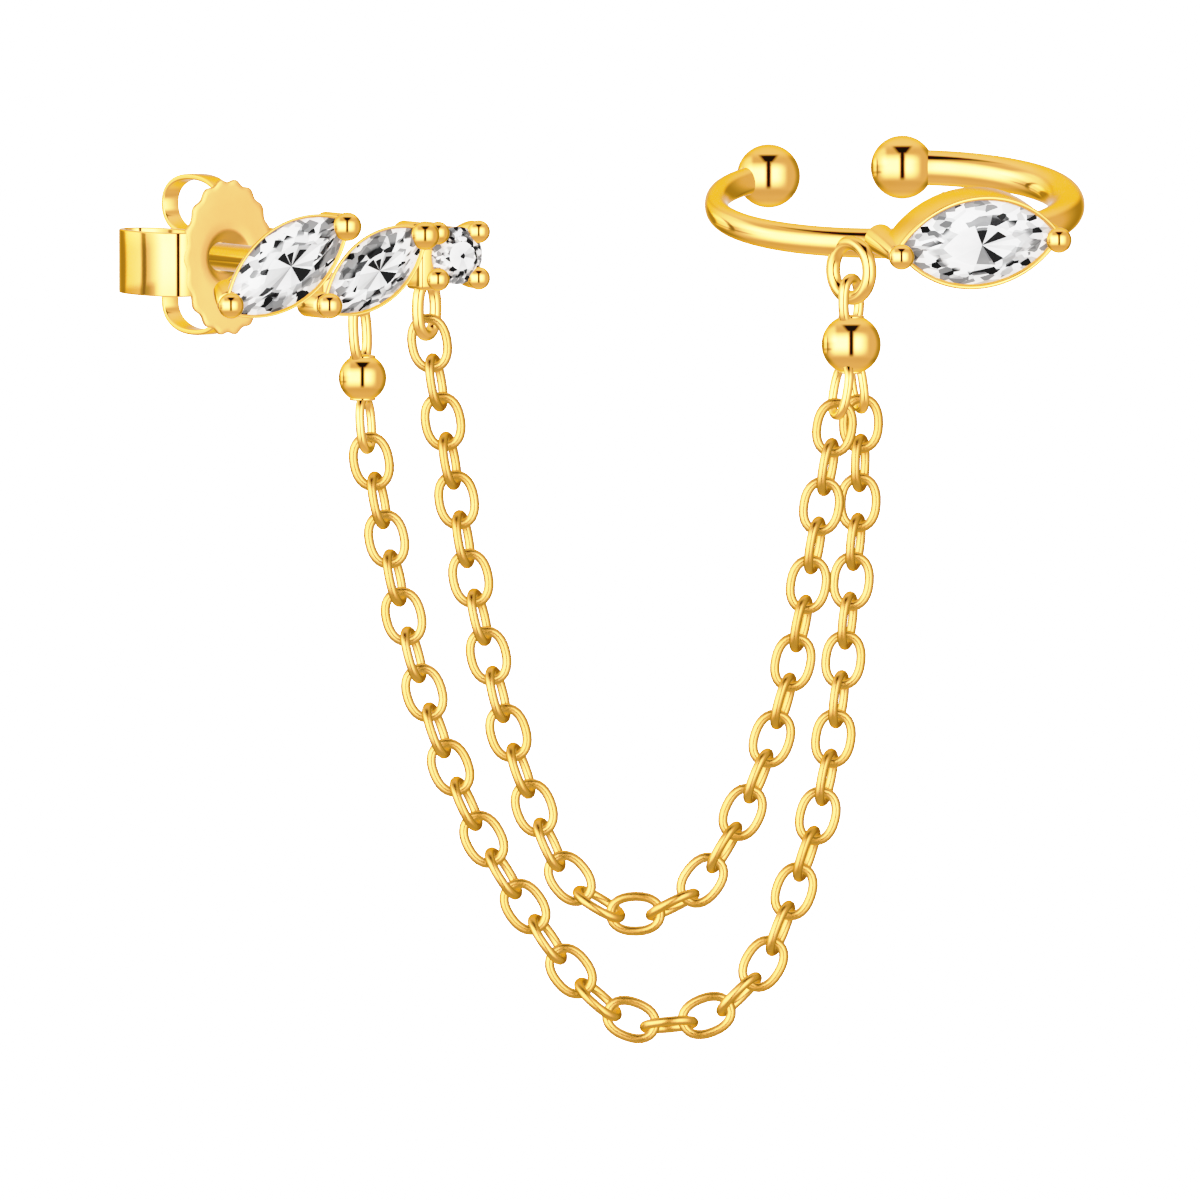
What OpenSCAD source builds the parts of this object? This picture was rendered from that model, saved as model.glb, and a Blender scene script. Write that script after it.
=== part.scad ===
/* [Stud stones] */
// Length of the large marquise stone
large_stone_l = 5.0; // [4.6:0.05:5.3]
// Width of the large marquise stone
large_stone_w = 2.35; // [2.1:0.05:2.4]
// Length of the middle marquise stone
middle_stone_l = 4.25; // [3.8:0.05:4.4]
// Width of the middle marquise stone
middle_stone_w = 2.0; // [1.8:0.05:2.05]
// Diameter of the small round stone
round_stone_d = 1.8; // [1.6:0.05:1.9]
// Width of a stone's table as a share of its width
table_share = 0.56; // [0.5:0.01:0.62]
// Height of the crown of the stud's stones
crown_h = 0.3; // [0.2:0.01:0.36]
// Depth of the pavilion of the stud's stones
pavilion_h = 0.8; // [0.6:0.01:0.84]
// Thickness of every stone's girdle
girdle_h = 0.06; // [0.04:0.01:0.1]

/* [Stud settings] */
// Height of the girdles over the stud's back
girdle_z = 1.2; // [1.18:0.01:1.35]
// Gap between a stone and the metal round it
stone_gap = 0.03; // [0.02:0.005:0.05]
// Thickness of a setting's rim outside its stone
rim_t = 0.15; // [0.12:0.01:0.18]
// Height of a rim over the girdle
rim_over = 0.1; // [0.06:0.01:0.14]
// Width of the ledge under a girdle
ledge_w = 0.12; // [0.08:0.01:0.16]
// Depth of the ledge under the girdle
ledge_drop = 0.2; // [0.18:0.01:0.26]
// Depth of a marquise setting's ring under the girdle
ring_drop = 0.36; // [0.34:0.01:0.42]
// Width of the rail that joins the feet of a marquise setting's prongs
rail_w = 0.7; // [0.6:0.05:0.8]
// Thickness of the rails
rail_t = 0.3; // [0.26:0.01:0.32]
// Radius of the ball on a marquise setting's prong
prong_ball_r = 0.4; // [0.36:0.01:0.44]
// Radius of the wire of a marquise setting's prong
prong_r = 0.33; // [0.28:0.01:0.35]
// Height of the ball centres over the stud's back
ball_z = 1.42; // [1.36:0.01:1.5]
// Turn of the prongs from the long axis of their stone
prong_turn = -2.5; // [-4:0.5:0]
// Distance of a prong from the tip of its stone, inwards
prong_inset = 0.12; // [0.06:0.01:0.2]
// Height of the foot of a prong over the stud's back
prong_foot_z = 0.12; // [0:0.02:0.2]
// Share of its reach by which the foot of the large stone's left prong is drawn in
large_prong_pull = 0.3; // [0.1:0.05:0.35]
// Radius of the ball on a round setting's claw
claw_ball_r = 0.33; // [0.29:0.01:0.35]
// Radius of the wire of a round setting's claw
claw_r = 0.19; // [0.16:0.01:0.22]
// Distance of a claw's ball outside the edge of its stone
claw_out = 0.13; // [0.08:0.01:0.18]
// Height of the claw balls' centres over the stud's back
claw_ball_z = 1.32; // [1.28:0.01:1.38]
// Height of the cup of the round setting over the stud's back
cup_z = 0.3; // [0.2:0.02:0.36]
// Width of the bar between the large and the middle setting
first_bar_w = 0.6; // [0.5:0.05:0.7]
// Height of that bar along the stud's face
first_bar_h = 2.1; // [2.05:0.05:2.2]
// Depth of that bar
first_bar_t = 0.5; // [0.4:0.02:0.54]
// Width of the bar between the middle and the round setting
second_bar_w = 0.62; // [0.58:0.01:0.7]
// Height of that bar along the stud's face
second_bar_h = 1.5; // [1.4:0.02:1.56]
// Depth of that bar
second_bar_t = 1; // [0.8:0.02:1.04]

/* [Post] */
// Diameter of the ear post
post_d = 0.86; // [0.8:0.01:0.9]
// Length of the post behind the settings
post_len = 8; // [7.8:0.1:8.4]
// Diameter of the pad that the post is soldered to
pad_d = 1.3; // [1.2:0.05:1.4]
// Distance from the tip of the post to the middle of its groove
groove_to_tip = 1.75; // [1.65:0.05:1.8]
// Width of the rounded groove
groove_w = 0.55; // [0.52:0.01:0.6]
// Depth of the groove
groove_depth = 0.07; // [0.04:0.01:0.1]

/* [Ear nut] */
// Gap for the ear lobe between the settings and the nut
lobe_gap = 2.2; // [2.1:0.05:2.4]
// Height of the nut's disc
disc_h = 4.8; // [4.6:0.05:5]
// Width of the nut's disc
disc_w = 3.1; // [3:0.05:3.3]
// Thickness of the nut's sheet
sheet_t = 0.18; // [0.14:0.01:0.2]
// Depth of the scallops round the disc's edge
scallop_depth = 0.05; // [0.03:0.01:0.08]
// Radius of the dimple round the nut's hole
dimple_r = 0.8; // [0.75:0.01:0.9]
// Depth of the dimple
dimple_depth = 0.45; // [0.4:0.01:0.5]
// Width of the dimple's flat lip outside its cone
dimple_lip = 0.15; // [0.1:0.01:0.2]
// Clearance round the post in the nut's hole
nut_gap = 0.03; // [0.02:0.005:0.06]
// Height of the two wide arms
wide_arm_h = 2.0; // [1.8:0.05:2.1]
// Depth of the wide arms behind the disc
wide_arm_depth = 3.75; // [3.6:0.05:3.9]
// Width across one wide arm's curl
wide_curl_w = 1.85; // [1.75:0.05:1.9]
// Distance of the wide arms below the middle of the disc
wide_arm_drop = 0.2; // [0.15:0.01:0.25]
// Width of the two narrow arms
narrow_arm_w = 0.55; // [0.5:0.01:0.62]
// Depth of the narrow arms behind the disc
narrow_arm_depth = 3.6; // [3.5:0.05:3.8]
// Height across one narrow arm's curl
narrow_curl_h = 1.9; // [1.8:0.05:1.95]
// Gap between the post's hole and the wide arms
arm_gap = 0.05; // [0.03:0.01:0.08]
// Distance of the narrow arms outside the disc's edge
narrow_arm_out = 0.03; // [0:0.01:0.05]
// Number of scallops round the disc
scallops = 18; // [16:2:20]

/* [Chains] */
// Distance from one link's centre to the next
link_pitch = 1.235; // [1.225:0.001:1.245]
// Diameter of the link wire
link_wire = 0.23; // [0.21:0.005:0.235]
// Width of a link over its wire
link_w = 1.38; // [1.36:0.01:1.4]
// Play between one link's wire and the next
link_play = 0.18; // [0.16:0.005:0.19]
// Turn of the side-on links about the chain
side_turn = 17; // [12:1:20]

/* [Beads] */
// Diameter of the bead under the stud
left_bead_d = 1.5; // [1.45:0.01:1.56]
// Diameter of the bead under the cuff
right_bead_d = 1.86; // [1.8:0.01:1.9]
// Diameter of the wire of the loops that the chains hang from
loop_wire = 0.3; // [0.28:0.005:0.31]
// Diameter of the wire of the loops that the beads hang by
top_loop_wire = 0.34; // [0.32:0.005:0.35]
// Length of a bead's lower loop over its wire
loop_l = 1.9; // [1.86:0.01:1.94]
// Width of a bead's loop over its wire
loop_w = 1.3; // [1.26:0.01:1.36]
// Length of the left bead's upper loop over its wire
left_top_loop_l = 2.2; // [2.18:0.01:2.24]
// Length of the right bead's upper loop over its wire
right_top_loop_l = 1.8; // [1.78:0.01:1.84]
// Diameter of the stud's eyelet over its wire
eyelet_d = 1.26; // [1.24:0.01:1.28]
// Diameter of the eyelet's wire
eyelet_wire = 0.2; // [0.18:0.01:0.22]
// Diameter of the eyelet's stem
stem_d = 0.34; // [0.3:0.01:0.38]
// Length of the stud's soldered loop over its wire
solder_loop_l = 2.0; // [1.98:0.01:2.06]
// Width of the stud's soldered loop over its wire
solder_loop_w = 1.36; // [1.34:0.01:1.4]
// Diameter of the wire of the stud's soldered loop
solder_loop_wire = 0.36; // [0.32:0.01:0.38]

/* [Ear cuff] */
// Width of the cuff's ring between the middles of its wire
cuff_w = 11.0; // [10.8:0.05:11.3]
// Depth of the cuff's ring between the middles of its wire
cuff_d = 8.6; // [8.4:0.05:8.8]
// Radius of the cuff's wire at its thick end
cuff_wire_r = 0.54; // [0.5:0.01:0.56]
// Radius of the balls on the cuff's ends
cuff_ball_r = 1.0; // [0.95:0.01:1.05]
// Lean of the cuff towards its front
cuff_lean = 13; // [11:0.5:15]
// Length of the cuff's marquise stone
cuff_stone_l = 5.1; // [4.9:0.05:5.25]
// Width of the cuff's marquise stone
cuff_stone_w = 2.7; // [2.5:0.05:2.8]
// Crown of the cuff's stone
cuff_crown_h = 0.32; // [0.25:0.01:0.36]
// Pavilion of the cuff's stone
cuff_pavilion_h = 0.78; // [0.7:0.01:0.8]
// Height of the cuff stone's girdle over the middle of the wire
cuff_girdle_z = 1.6; // [1.57:0.01:1.64]
// Height of the wall of the cuff's setting under the girdle
cuff_wall_h = 1.15; // [1.12:0.01:1.18]
// Width of the bridge between the cuff's wire and its setting
cuff_bridge_w = 1.6; // [1.4:0.1:1.8]
// Thickness of that bridge
cuff_bridge_t = 0.3; // [0.28:0.01:0.34]
// Radius of the balls on the cuff setting's prongs
cuff_prong_ball_r = 0.4; // [0.36:0.01:0.42]
// Radius of the wire of those prongs
cuff_prong_r = 0.3; // [0.26:0.01:0.34]
// Distance of those prongs outside the tips of the stone
cuff_prong_out = 0.04; // [0:0.01:0.08]
// Distance of those prongs under the stone's long axis
cuff_prong_drop = 0.16; // [0.1:0.01:0.2]
// Distance that those prongs run back past the middle of the wire
cuff_prong_back = 0.4; // [0.3:0.02:0.5]
// Height of the centres of their balls over the girdle
cuff_ball_over = 0.2; // [0.16:0.01:0.26]
// Turn of those prongs from the long axis of the stone
cuff_prong_turn = 0.9; // [0:0.1:2]
// Diameter of the wire of the cuff's hanging ring
hang_ring_wire = 0.46; // [0.42:0.01:0.48]
// Diameter of the hanging ring over its wire
hang_ring_d = 2.17; // [2.14:0.01:2.22]

/* [Hidden] */
$fn = 48;

// Turn of the upright plane that the chains hang in, from the face of the stud
hang_turn = -30;

// Places of the stones on the stud's face, across and up, and the rise of their long axes
large_stone_place = [0.12, -0.10];
middle_stone_place = [3.27, -0.33];
round_stone_place = [6.23, 0.05];
large_stone_turn = 32;
middle_stone_turn = 34;

// Corners of the joining bars on the stud's face: across, up, and over the back
first_bar_place = [1.3, -1.4, 0];
second_bar_place = [4.95, -1.15, 0.2];

// Foot of the eyelet's stem on the middle rail: across, up, and over the back
stem_place = [3.5, -0.3, 0.15];

// Steps from the eyelet to the left bead, from the middle of the cuff to its hanging ring,
// and from there to the right bead
left_bead_step = [0.12, 0, -2.53];
hang_ring_step = [-1.3, -5.08, -1.88];
right_bead_step = [0, 0, -2.31];

// Places in the hanging plane: along, away from the front, and up
eyelet_place = [2.94, 2.2, -1.25];
left_bead_place = eyelet_place + left_bead_step;
solder_loop_place = [5.06, 2.25, -1.62];
cuff_place = [19.6, 6.5, 1.5];
hang_ring_place = cuff_place + hang_ring_step;
right_bead_place = hang_ring_place + right_bead_step;

// Turns of the rings and loops about the upright, from the hanging plane
hang_ring_turn = -49;
eyelet_turn = -25;
solder_loop_turn = 57;

// Where the cuff's setting sits on the front of its wire, and its turn to the right
cuff_front_place = [2.15, -4.49, 0.42];
cuff_front_turn = 18;

// Routes of the two chains, from where the first link hangs to where the last one does
OUTER_ROUTE = [
    [3.22, 2.20, -5.79], [3.84, 2.12, -8.97], [4.38, 2.02, -11.41], [5.09, 1.92, -13.97],
    [6.00, 1.82, -16.44], [7.12, 1.72, -18.71], [8.53, 1.63, -20.87], [10.08, 1.55, -22.92],
    [11.86, 1.48, -24.02], [14.23, 1.45, -23.55], [15.65, 1.46, -21.98], [16.48, 1.50, -19.92],
    [17.27, 1.55, -17.48], [17.76, 1.60, -15.01], [18.07, 1.65, -12.50], [18.33, 1.70, -10.01],
    [18.55, 1.74, -7.61], [18.62, 1.77, -4.56]
];
INNER_ROUTE = [
    [5.05, 2.25, -2.09], [5.56, 2.24, -5.09], [5.97, 2.20, -7.44], [6.39, 2.12, -9.85],
    [6.92, 2.04, -12.16], [7.54, 1.95, -14.66], [8.31, 1.85, -16.91], [9.22, 1.75, -19.05],
    [10.79, 1.62, -20.48], [12.87, 1.50, -20.25], [14.22, 1.42, -18.66], [15.37, 1.33, -16.31],
    [16.23, 1.25, -13.70], [16.84, 1.18, -10.88], [17.32, 1.12, -8.02], [17.88, 1.12, -4.66]
];

post_r = post_d / 2;

// Reach of a cut past the face that it opens
cut_over = 1;

// Facets of a pointed stone's girdle and table from tip to tip, and of a round stone's
marquise_sides = 10;
marquise_table_sides = 5;
round_sides = 16;
round_table_sides = 8;

// How fast a stone's tips and culet grow, for a growth of 1 on its sides
tip_grow = 1.3;
culet_grow = 1.4;

// Sides of a link round its ring and round its wire, and how full its oval is
ring_sides = 12;
wire_sides = 6;
link_power = 0.82;
oval_power = 0.9;

// Shapes of the sheet and of the wire

// A pointed oval between two arcs, grown on every side by grow
module lens(l, w, grow = 0) {
    r = (l * l + w * w) / (4 * w);
    intersection() {
        translate([0, w / 2 - r]) circle(r = r + grow, $fn = 96);
        translate([0, r - w / 2]) circle(r = r + grow, $fn = 96);
    }
}

// Half the width of a pointed oval at the distance s from its middle
function lens_half(l, w, s) = let (r = (l * l + w * w) / (4 * w)) sqrt(r * r - s * s) - r + w / 2;

// Points round a pointed oval, with n sides from tip to tip on each edge
function lens_points(l, w, n) = [
    for (i = [0 : 2 * n - 1])
        let (s = (i < n ? -1 : 1) * cos(180 * (i % n) / n) * l / 2)
        [-s, (i < n ? -1 : 1) * lens_half(l, w, abs(s))]
];

function round_points(d, n) = [for (i = [0 : n - 1]) d / 2 * [cos(360 * i / n), sin(360 * i / n)]];

function lift(points, z) = [for (p = points) [p[0], p[1], z]];

// A cut stone with its girdle's underside at height 0: a culet, a girdle band and a table
module cut_stone(girdle, table, crown, pavilion) {
    hull() {
        polyhedron(
            concat([[0, 0, -pavilion]], lift(girdle, 0), lift(girdle, girdle_h)),
            concat(
                [[for (i = [1 : len(girdle)]) i + len(girdle)]],
                [for (i = [1 : len(girdle)]) [0, i % len(girdle) + 1, i]],
                [for (i = [1 : len(girdle)])
                    [i, i % len(girdle) + 1, i % len(girdle) + 1 + len(girdle), i + len(girdle)]]
            )
        );
        translate([0, 0, girdle_h + crown - 0.01]) linear_extrude(0.01) polygon(table);
    }
}

module marquise(l, w, crown, pavilion, grow = 0) {
    long = l + 2 * tip_grow * grow;
    wide = w + 2 * grow;
    cut_stone(
        lens_points(long, wide, marquise_sides),
        lens_points(long * table_share, wide * table_share, marquise_table_sides),
        crown + grow, pavilion + culet_grow * grow
    );
}

module brilliant(d, crown, pavilion, grow = 0) {
    wide = d + 2 * grow;
    cut_stone(
        round_points(wide, round_sides), round_points(wide * table_share, round_table_sides),
        crown + grow, pavilion + culet_grow * grow
    );
}

// A straight round wire from p to q
module rod(p, q, r) {
    d = q - p;
    translate(p)
        rotate([0, acos(d[2] / norm(d)), atan2(d[1], d[0])])
            cylinder(r = r, h = norm(d));
}

// A share of a full oval's half axis, with rounder corners than an ellipse's
function fuller(k, power) = sign(k) * pow(abs(k), power);

// A closed link of round wire, its length along Z and its width along X
module link(l, w, wire) {
    a = (w - wire) / 2;
    b = (l - wire) / 2;
    polyhedron(
        [for (i = [0 : ring_sides - 1])
            let (
                t = 360 * i / ring_sides,
                out = [b * cos(t), 0, a * sin(t)] / norm([b * cos(t), a * sin(t)]),
                middle = [a * fuller(cos(t), link_power), 0, b * fuller(sin(t), link_power)]
            )
            for (j = [0 : wire_sides - 1])
                let (s = 360 * j / wire_sides)
                middle + wire / 2 * (cos(s) * out + sin(s) * [0, 1, 0])],
        [for (i = [0 : ring_sides - 1]) for (j = [0 : wire_sides - 1])
            let (i2 = (i + 1) % ring_sides, j2 = (j + 1) % wire_sides)
            [i * wire_sides + j, i2 * wire_sides + j, i2 * wire_sides + j2, i * wire_sides + j2]]
    );
}

// A round ring of wire, standing in the plane of X and Z
module ring(d, wire) {
    rotate([90, 0, 0]) rotate_extrude() translate([(d - wire) / 2, 0]) circle(d = wire);
}

// Wire bent along a run of points, with its half width and half height at each of them
module swept_wire(points, half_w, half_h, sides) {
    n = len(points);
    polyhedron(
        [for (i = [0 : n - 1])
            let (
                d = points[min(i + 1, n - 1)] - points[max(i - 1, 0)],
                out = [d[1], -d[0], 0] / norm(d)
            )
            for (j = [0 : sides - 1])
                let (s = 360 * j / sides)
                points[i] + half_w[i] * cos(s) * out + [0, 0, half_h[i] * sin(s)]],
        concat(
            [[for (j = [sides - 1 : -1 : 0]) j]],
            [[for (j = [0 : sides - 1]) (n - 1) * sides + j]],
            [for (i = [0 : n - 2]) for (j = [0 : sides - 1])
                let (j2 = (j + 1) % sides)
                [i * sides + j, i * sides + j2, (i + 1) * sides + j2, (i + 1) * sides + j]]
        )
    );
}

// Stud

// Turns a shape drawn flat, with its front up, to stand in the stud's face
module on_face() {
    rotate([90, 0, 0]) children();
}

module at_place(place, turn) {
    translate([place[0], place[1], 0]) rotate(turn) children();
}

// Wall, ledge and rim round a marquise stone
module marquise_wall(l, w, girdle, bottom) {
    difference() {
        translate([0, 0, bottom]) linear_extrude(girdle + girdle_h + rim_over - bottom) lens(l, w, rim_t);
        translate([0, 0, bottom - cut_over])
            linear_extrude(girdle - bottom + cut_over) lens(l, w, -ledge_w);
        translate([0, 0, girdle - ledge_drop]) linear_extrude(cut_over) lens(l, w, stone_gap);
    }
}

// Two prongs with ball ends, reach from the middle; pull draws the foot of the first one inwards
module prong_pair(reach, bottom, ball_height, wire_r, ball_r, pull = 0) {
    for (side = [-1, 1]) {
        foot = side * reach * (1 - (side < 0 ? pull : 0));
        rod([foot, 0, bottom], [side * reach, 0, ball_height], wire_r);
        translate([side * reach, 0, ball_height]) sphere(r = ball_r);
    }
}

// A shallow ring on two prongs, and a rail behind the stone that joins their feet
module marquise_setting(place, turn, l, w, pull) {
    reach = l / 2 - prong_inset;
    at_place(place, turn) {
        marquise_wall(l, w, girdle_z, girdle_z - ring_drop);
        difference() {
            rotate(prong_turn) prong_pair(reach, prong_foot_z, ball_z, prong_r, prong_ball_r, pull);
            translate([0, 0, girdle_z]) marquise(l, w, crown_h, pavilion_h, stone_gap);
        }
        rotate(prong_turn) translate([-reach * (1 - pull), -rail_w / 2, 0])
            cube([reach * (2 - pull), rail_w, rail_t]);
    }
}

module round_setting() {
    r = round_stone_d / 2;
    at_place(round_stone_place, 0) {
        difference() {
            translate([0, 0, cup_z]) cylinder(r = r, h = girdle_z - ledge_drop - cup_z);
            cylinder(r = r - ledge_w - rim_over, h = girdle_z);
        }
        difference() {
            for (a = [45 : 90 : 315]) rotate(a) {
                rod([r - claw_out, 0, prong_foot_z], [r + claw_out, 0, claw_ball_z], claw_r);
                translate([r + claw_out, 0, claw_ball_z]) sphere(r = claw_ball_r);
            }
            translate([0, 0, girdle_z]) brilliant(round_stone_d, crown_h, pavilion_h, stone_gap);
        }
    }
}

module post() {
    tip = post_len - post_r;
    groove_r = groove_w * groove_w / (8 * groove_depth) + groove_depth / 2;
    difference() {
        union() {
            translate([0, 0, -tip]) cylinder(r = post_r, h = tip + rail_t);
            translate([0, 0, -tip]) sphere(r = post_r);
            cylinder(d = pad_d, h = rail_t);
        }
        translate([0, 0, groove_to_tip - post_len])
            rotate_extrude() translate([post_r - groove_depth + groove_r, 0]) circle(r = groove_r);
    }
}

// Bars that join one setting to the next, the second one clear of the round stone
module joining_bars() {
    translate(first_bar_place) cube([first_bar_w, first_bar_h, first_bar_t]);
    difference() {
        translate(second_bar_place) cube([second_bar_w, second_bar_h, second_bar_t]);
        at_place(round_stone_place, 0) translate([0, 0, girdle_z])
            brilliant(round_stone_d, crown_h, pavilion_h, stone_gap);
    }
}

// Takes a shape to its place in the hanging plane
module in_hanging_plane(place, turn = 0) {
    rotate([0, 0, hang_turn]) translate(place) rotate([0, 0, turn]) children();
}

// The eyelet that the left bead hangs from, on a short stem behind the middle stone
module eyelet() {
    in_hanging_plane(eyelet_place, eyelet_turn) ring(eyelet_d, eyelet_wire);
    top = eyelet_place + [0, 0, (eyelet_d - eyelet_wire) / 2];
    foot = [stem_place[0], -stem_place[2], stem_place[1]];
    crown = [
        top[0] * cos(hang_turn) - top[1] * sin(hang_turn),
        top[0] * sin(hang_turn) + top[1] * cos(hang_turn),
        top[2]
    ];
    rod(foot, crown, stem_d / 2);
}

module stud_frame() {
    color("gold") {
        on_face() {
            marquise_setting(
                large_stone_place, large_stone_turn, large_stone_l, large_stone_w, large_prong_pull
            );
            marquise_setting(middle_stone_place, middle_stone_turn, middle_stone_l, middle_stone_w, 0);
            round_setting();
            post();
            joining_bars();
        }
        eyelet();
        in_hanging_plane(solder_loop_place, solder_loop_turn)
            link(solder_loop_l, solder_loop_w, solder_loop_wire);
    }
}

module large_stone() {
    color("white") on_face() at_place(large_stone_place, large_stone_turn) translate([0, 0, girdle_z])
        marquise(large_stone_l, large_stone_w, crown_h, pavilion_h);
}

module middle_stone() {
    color("white") on_face() at_place(middle_stone_place, middle_stone_turn)
        translate([0, 0, girdle_z]) marquise(middle_stone_l, middle_stone_w, crown_h, pavilion_h);
}

module round_stone() {
    color("white") on_face() at_place(round_stone_place, 0) translate([0, 0, girdle_z])
        brilliant(round_stone_d, crown_h, pavilion_h);
}

// Ear nut

module oval_band(along, across) {
    difference() {
        polygon(oval_points(along / 2, across / 2));
        polygon(oval_points(along / 2 - sheet_t, across / 2 - sheet_t));
    }
}

function oval_points(a, b) = [
    for (t = [0 : 9 : 351]) [a * fuller(cos(t), oval_power), b * fuller(sin(t), oval_power)]
];

module nut_disc() {
    hole_r = post_r + nut_gap;
    difference() {
        union() {
            linear_extrude(sheet_t) polygon([
                for (t = [0 : 5 : 355])
                    let (wave = scallop_depth * cos(t * scallops))
                    [(disc_w / 2 + wave) * cos(t), (disc_h / 2 + wave) * sin(t)]
            ]);
            cylinder(r1 = dimple_r, r2 = hole_r + 1.5 * sheet_t, h = dimple_depth + sheet_t);
        }
        translate([0, 0, -cut_over]) cylinder(r = hole_r, h = dimple_depth + sheet_t + 2 * cut_over);
        translate([0, 0, -0.001]) cylinder(r1 = dimple_r - dimple_lip, r2 = hole_r, h = dimple_depth);
    }
}

// The nut with its arms' depth along Z
module ear_nut() {
    inner = post_r + nut_gap + arm_gap;
    narrow_middle = disc_h / 2 - narrow_curl_h / 2 + narrow_arm_out;
    color("gold") translate([0, lobe_gap, 0]) rotate([-90, 0, 0]) {
        nut_disc();
        for (side = [-1, 1]) {
            translate([side * (inner + wide_curl_w / 2), wide_arm_drop + wide_arm_h / 2, wide_arm_depth / 2])
                rotate([90, 0, 0])
                    linear_extrude(wide_arm_h) rotate(90) oval_band(wide_arm_depth, wide_curl_w);
            translate([-narrow_arm_w / 2, side * narrow_middle, narrow_arm_depth / 2])
                rotate([90, 0, 90])
                    linear_extrude(narrow_arm_w) rotate(90) oval_band(narrow_arm_depth, narrow_curl_h);
        }
    }
}

// Ear cuff

// Middle of the cuff's wire at the angle t, as a fuller oval; t runs from the right round the back
function cuff_at(t) = [
    cuff_w / 2 * fuller(cos(t), oval_power),
    cuff_d / 2 * (fuller(sin(t), oval_power) - cuff_shift),
    0
];

// Angles at which the cuff's wire starts and ends, and at which its balls sit
cuff_start = 138;
cuff_end = 444;
cuff_ball_start = 132;
cuff_ball_end = 447;
cuff_steps = 44;
cuff_sides = 14;

// Shift of the cuff's ring towards the front, as a share of half its depth
cuff_shift = 0.1;

// Thickness of the cuff's wire along its run, as shares of its radius
CUFF_TAPER = [
    // run  width  height
    [0.00, 0.76, 0.80], [0.15, 0.66, 0.80], [0.35, 0.80, 0.86], [0.60, 0.98, 0.98],
    [0.80, 1.08, 1.02], [1.00, 0.98, 1.04]
];

function taper_at(run, column) =
    lookup(run, [for (row = CUFF_TAPER) [row[0], row[column]]]);

module on_cuff() {
    rotate([0, 0, hang_turn]) translate(cuff_place) rotate([cuff_lean, 0, 0]) children();
}

// Turns a shape drawn flat to face outwards at the front of the cuff
module on_cuff_front() {
    on_cuff() translate(cuff_front_place) rotate([0, 0, cuff_front_turn]) rotate([90, 0, 0]) children();
}

module cuff_wire() {
    turns = [for (i = [0 : cuff_steps]) cuff_start + (cuff_end - cuff_start) * i / cuff_steps];
    swept_wire(
        [for (t = turns) cuff_at(t)],
        [for (i = [0 : cuff_steps]) cuff_wire_r * taper_at(i / cuff_steps, 1)],
        [for (i = [0 : cuff_steps]) cuff_wire_r * taper_at(i / cuff_steps, 2)],
        cuff_sides
    );
    for (t = [cuff_ball_start, cuff_ball_end]) translate(cuff_at(t)) sphere(r = cuff_ball_r);
}

module cuff_setting() {
    bottom = cuff_girdle_z - cuff_wall_h;
    marquise_wall(cuff_stone_l, cuff_stone_w, cuff_girdle_z, bottom);
    intersection() {
        translate([0, 0, bottom - cuff_bridge_t / 2]) linear_extrude(cuff_bridge_t)
            lens(cuff_stone_l, cuff_stone_w, rim_t);
        translate([-cuff_bridge_w / 2, -cuff_stone_w, bottom - cuff_bridge_t])
            cube([cuff_bridge_w, 2 * cuff_stone_w, 2 * cuff_bridge_t]);
    }
    difference() {
        translate([0, -cuff_prong_drop, 0]) rotate(cuff_prong_turn)
            prong_pair(
                cuff_stone_l / 2 + cuff_prong_out, -cuff_prong_back,
                cuff_girdle_z + cuff_ball_over, cuff_prong_r, cuff_prong_ball_r
            );
        translate([0, 0, cuff_girdle_z])
            marquise(cuff_stone_l, cuff_stone_w, cuff_crown_h, cuff_pavilion_h, stone_gap);
    }
}

module ear_cuff() {
    color("gold") {
        on_cuff() cuff_wire();
        on_cuff_front() cuff_setting();
        in_hanging_plane(hang_ring_place, hang_ring_turn) ring(hang_ring_d, hang_ring_wire);
    }
}

module cuff_stone() {
    color("white") on_cuff_front() translate([0, 0, cuff_girdle_z])
        marquise(cuff_stone_l, cuff_stone_w, cuff_crown_h, cuff_pavilion_h);
}

// Beads, each with the loops that are soldered to it

// Turns, leans and drops of a bead's loops, with their shift along and away from the front
LEFT_BEAD_LOOPS = [
    // turn  lean  drop   along  away
    [65, -3, 1.44, 0, 0], [70, -4, -1.45, 0, 0]
];
RIGHT_BEAD_LOOPS = [
    [59, 0, 1.33, 0, 0], [114, 10, -1.43, -0.08, -0.3], [110, -8, -1.27, 0.03, 0.35]
];

module bead_loop(row, l, wire) {
    translate([row[3], row[4], 0]) rotate([0, row[1], 0]) translate([0, 0, row[2]])
        rotate([0, 0, row[0]]) link(l, loop_w, wire);
}

module bead(d, loops, top_loop_l) {
    sphere(d = d);
    bead_loop(loops[0], top_loop_l, top_loop_wire);
    for (i = [1 : len(loops) - 1]) bead_loop(loops[i], loop_l, loop_wire);
}

module left_bead() {
    color("gold") in_hanging_plane(left_bead_place) bead(left_bead_d, LEFT_BEAD_LOOPS, left_top_loop_l);
}

module right_bead() {
    color("gold") in_hanging_plane(right_bead_place)
        bead(right_bead_d, RIGHT_BEAD_LOOPS, right_top_loop_l);
}

// Chains

// A point at the share k of the stretch after point i of a route, on a smooth curve through them all
function route_at(route, i, k) =
    let (
        n = len(route) - 1,
        a = route[max(i - 1, 0)], b = route[i], c = route[min(i + 1, n)], d = route[min(i + 2, n)]
    )
    b + 0.5 * k * ((c - a) + k * ((2 * a - 5 * b + 4 * c - d) + k * (3 * (b - c) + d - a)));

function smooth_route(route, steps) = concat(
    [for (i = [0 : len(route) - 2]) for (j = [0 : steps - 1]) route_at(route, i, j / steps)],
    [route[len(route) - 1]]
);

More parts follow.
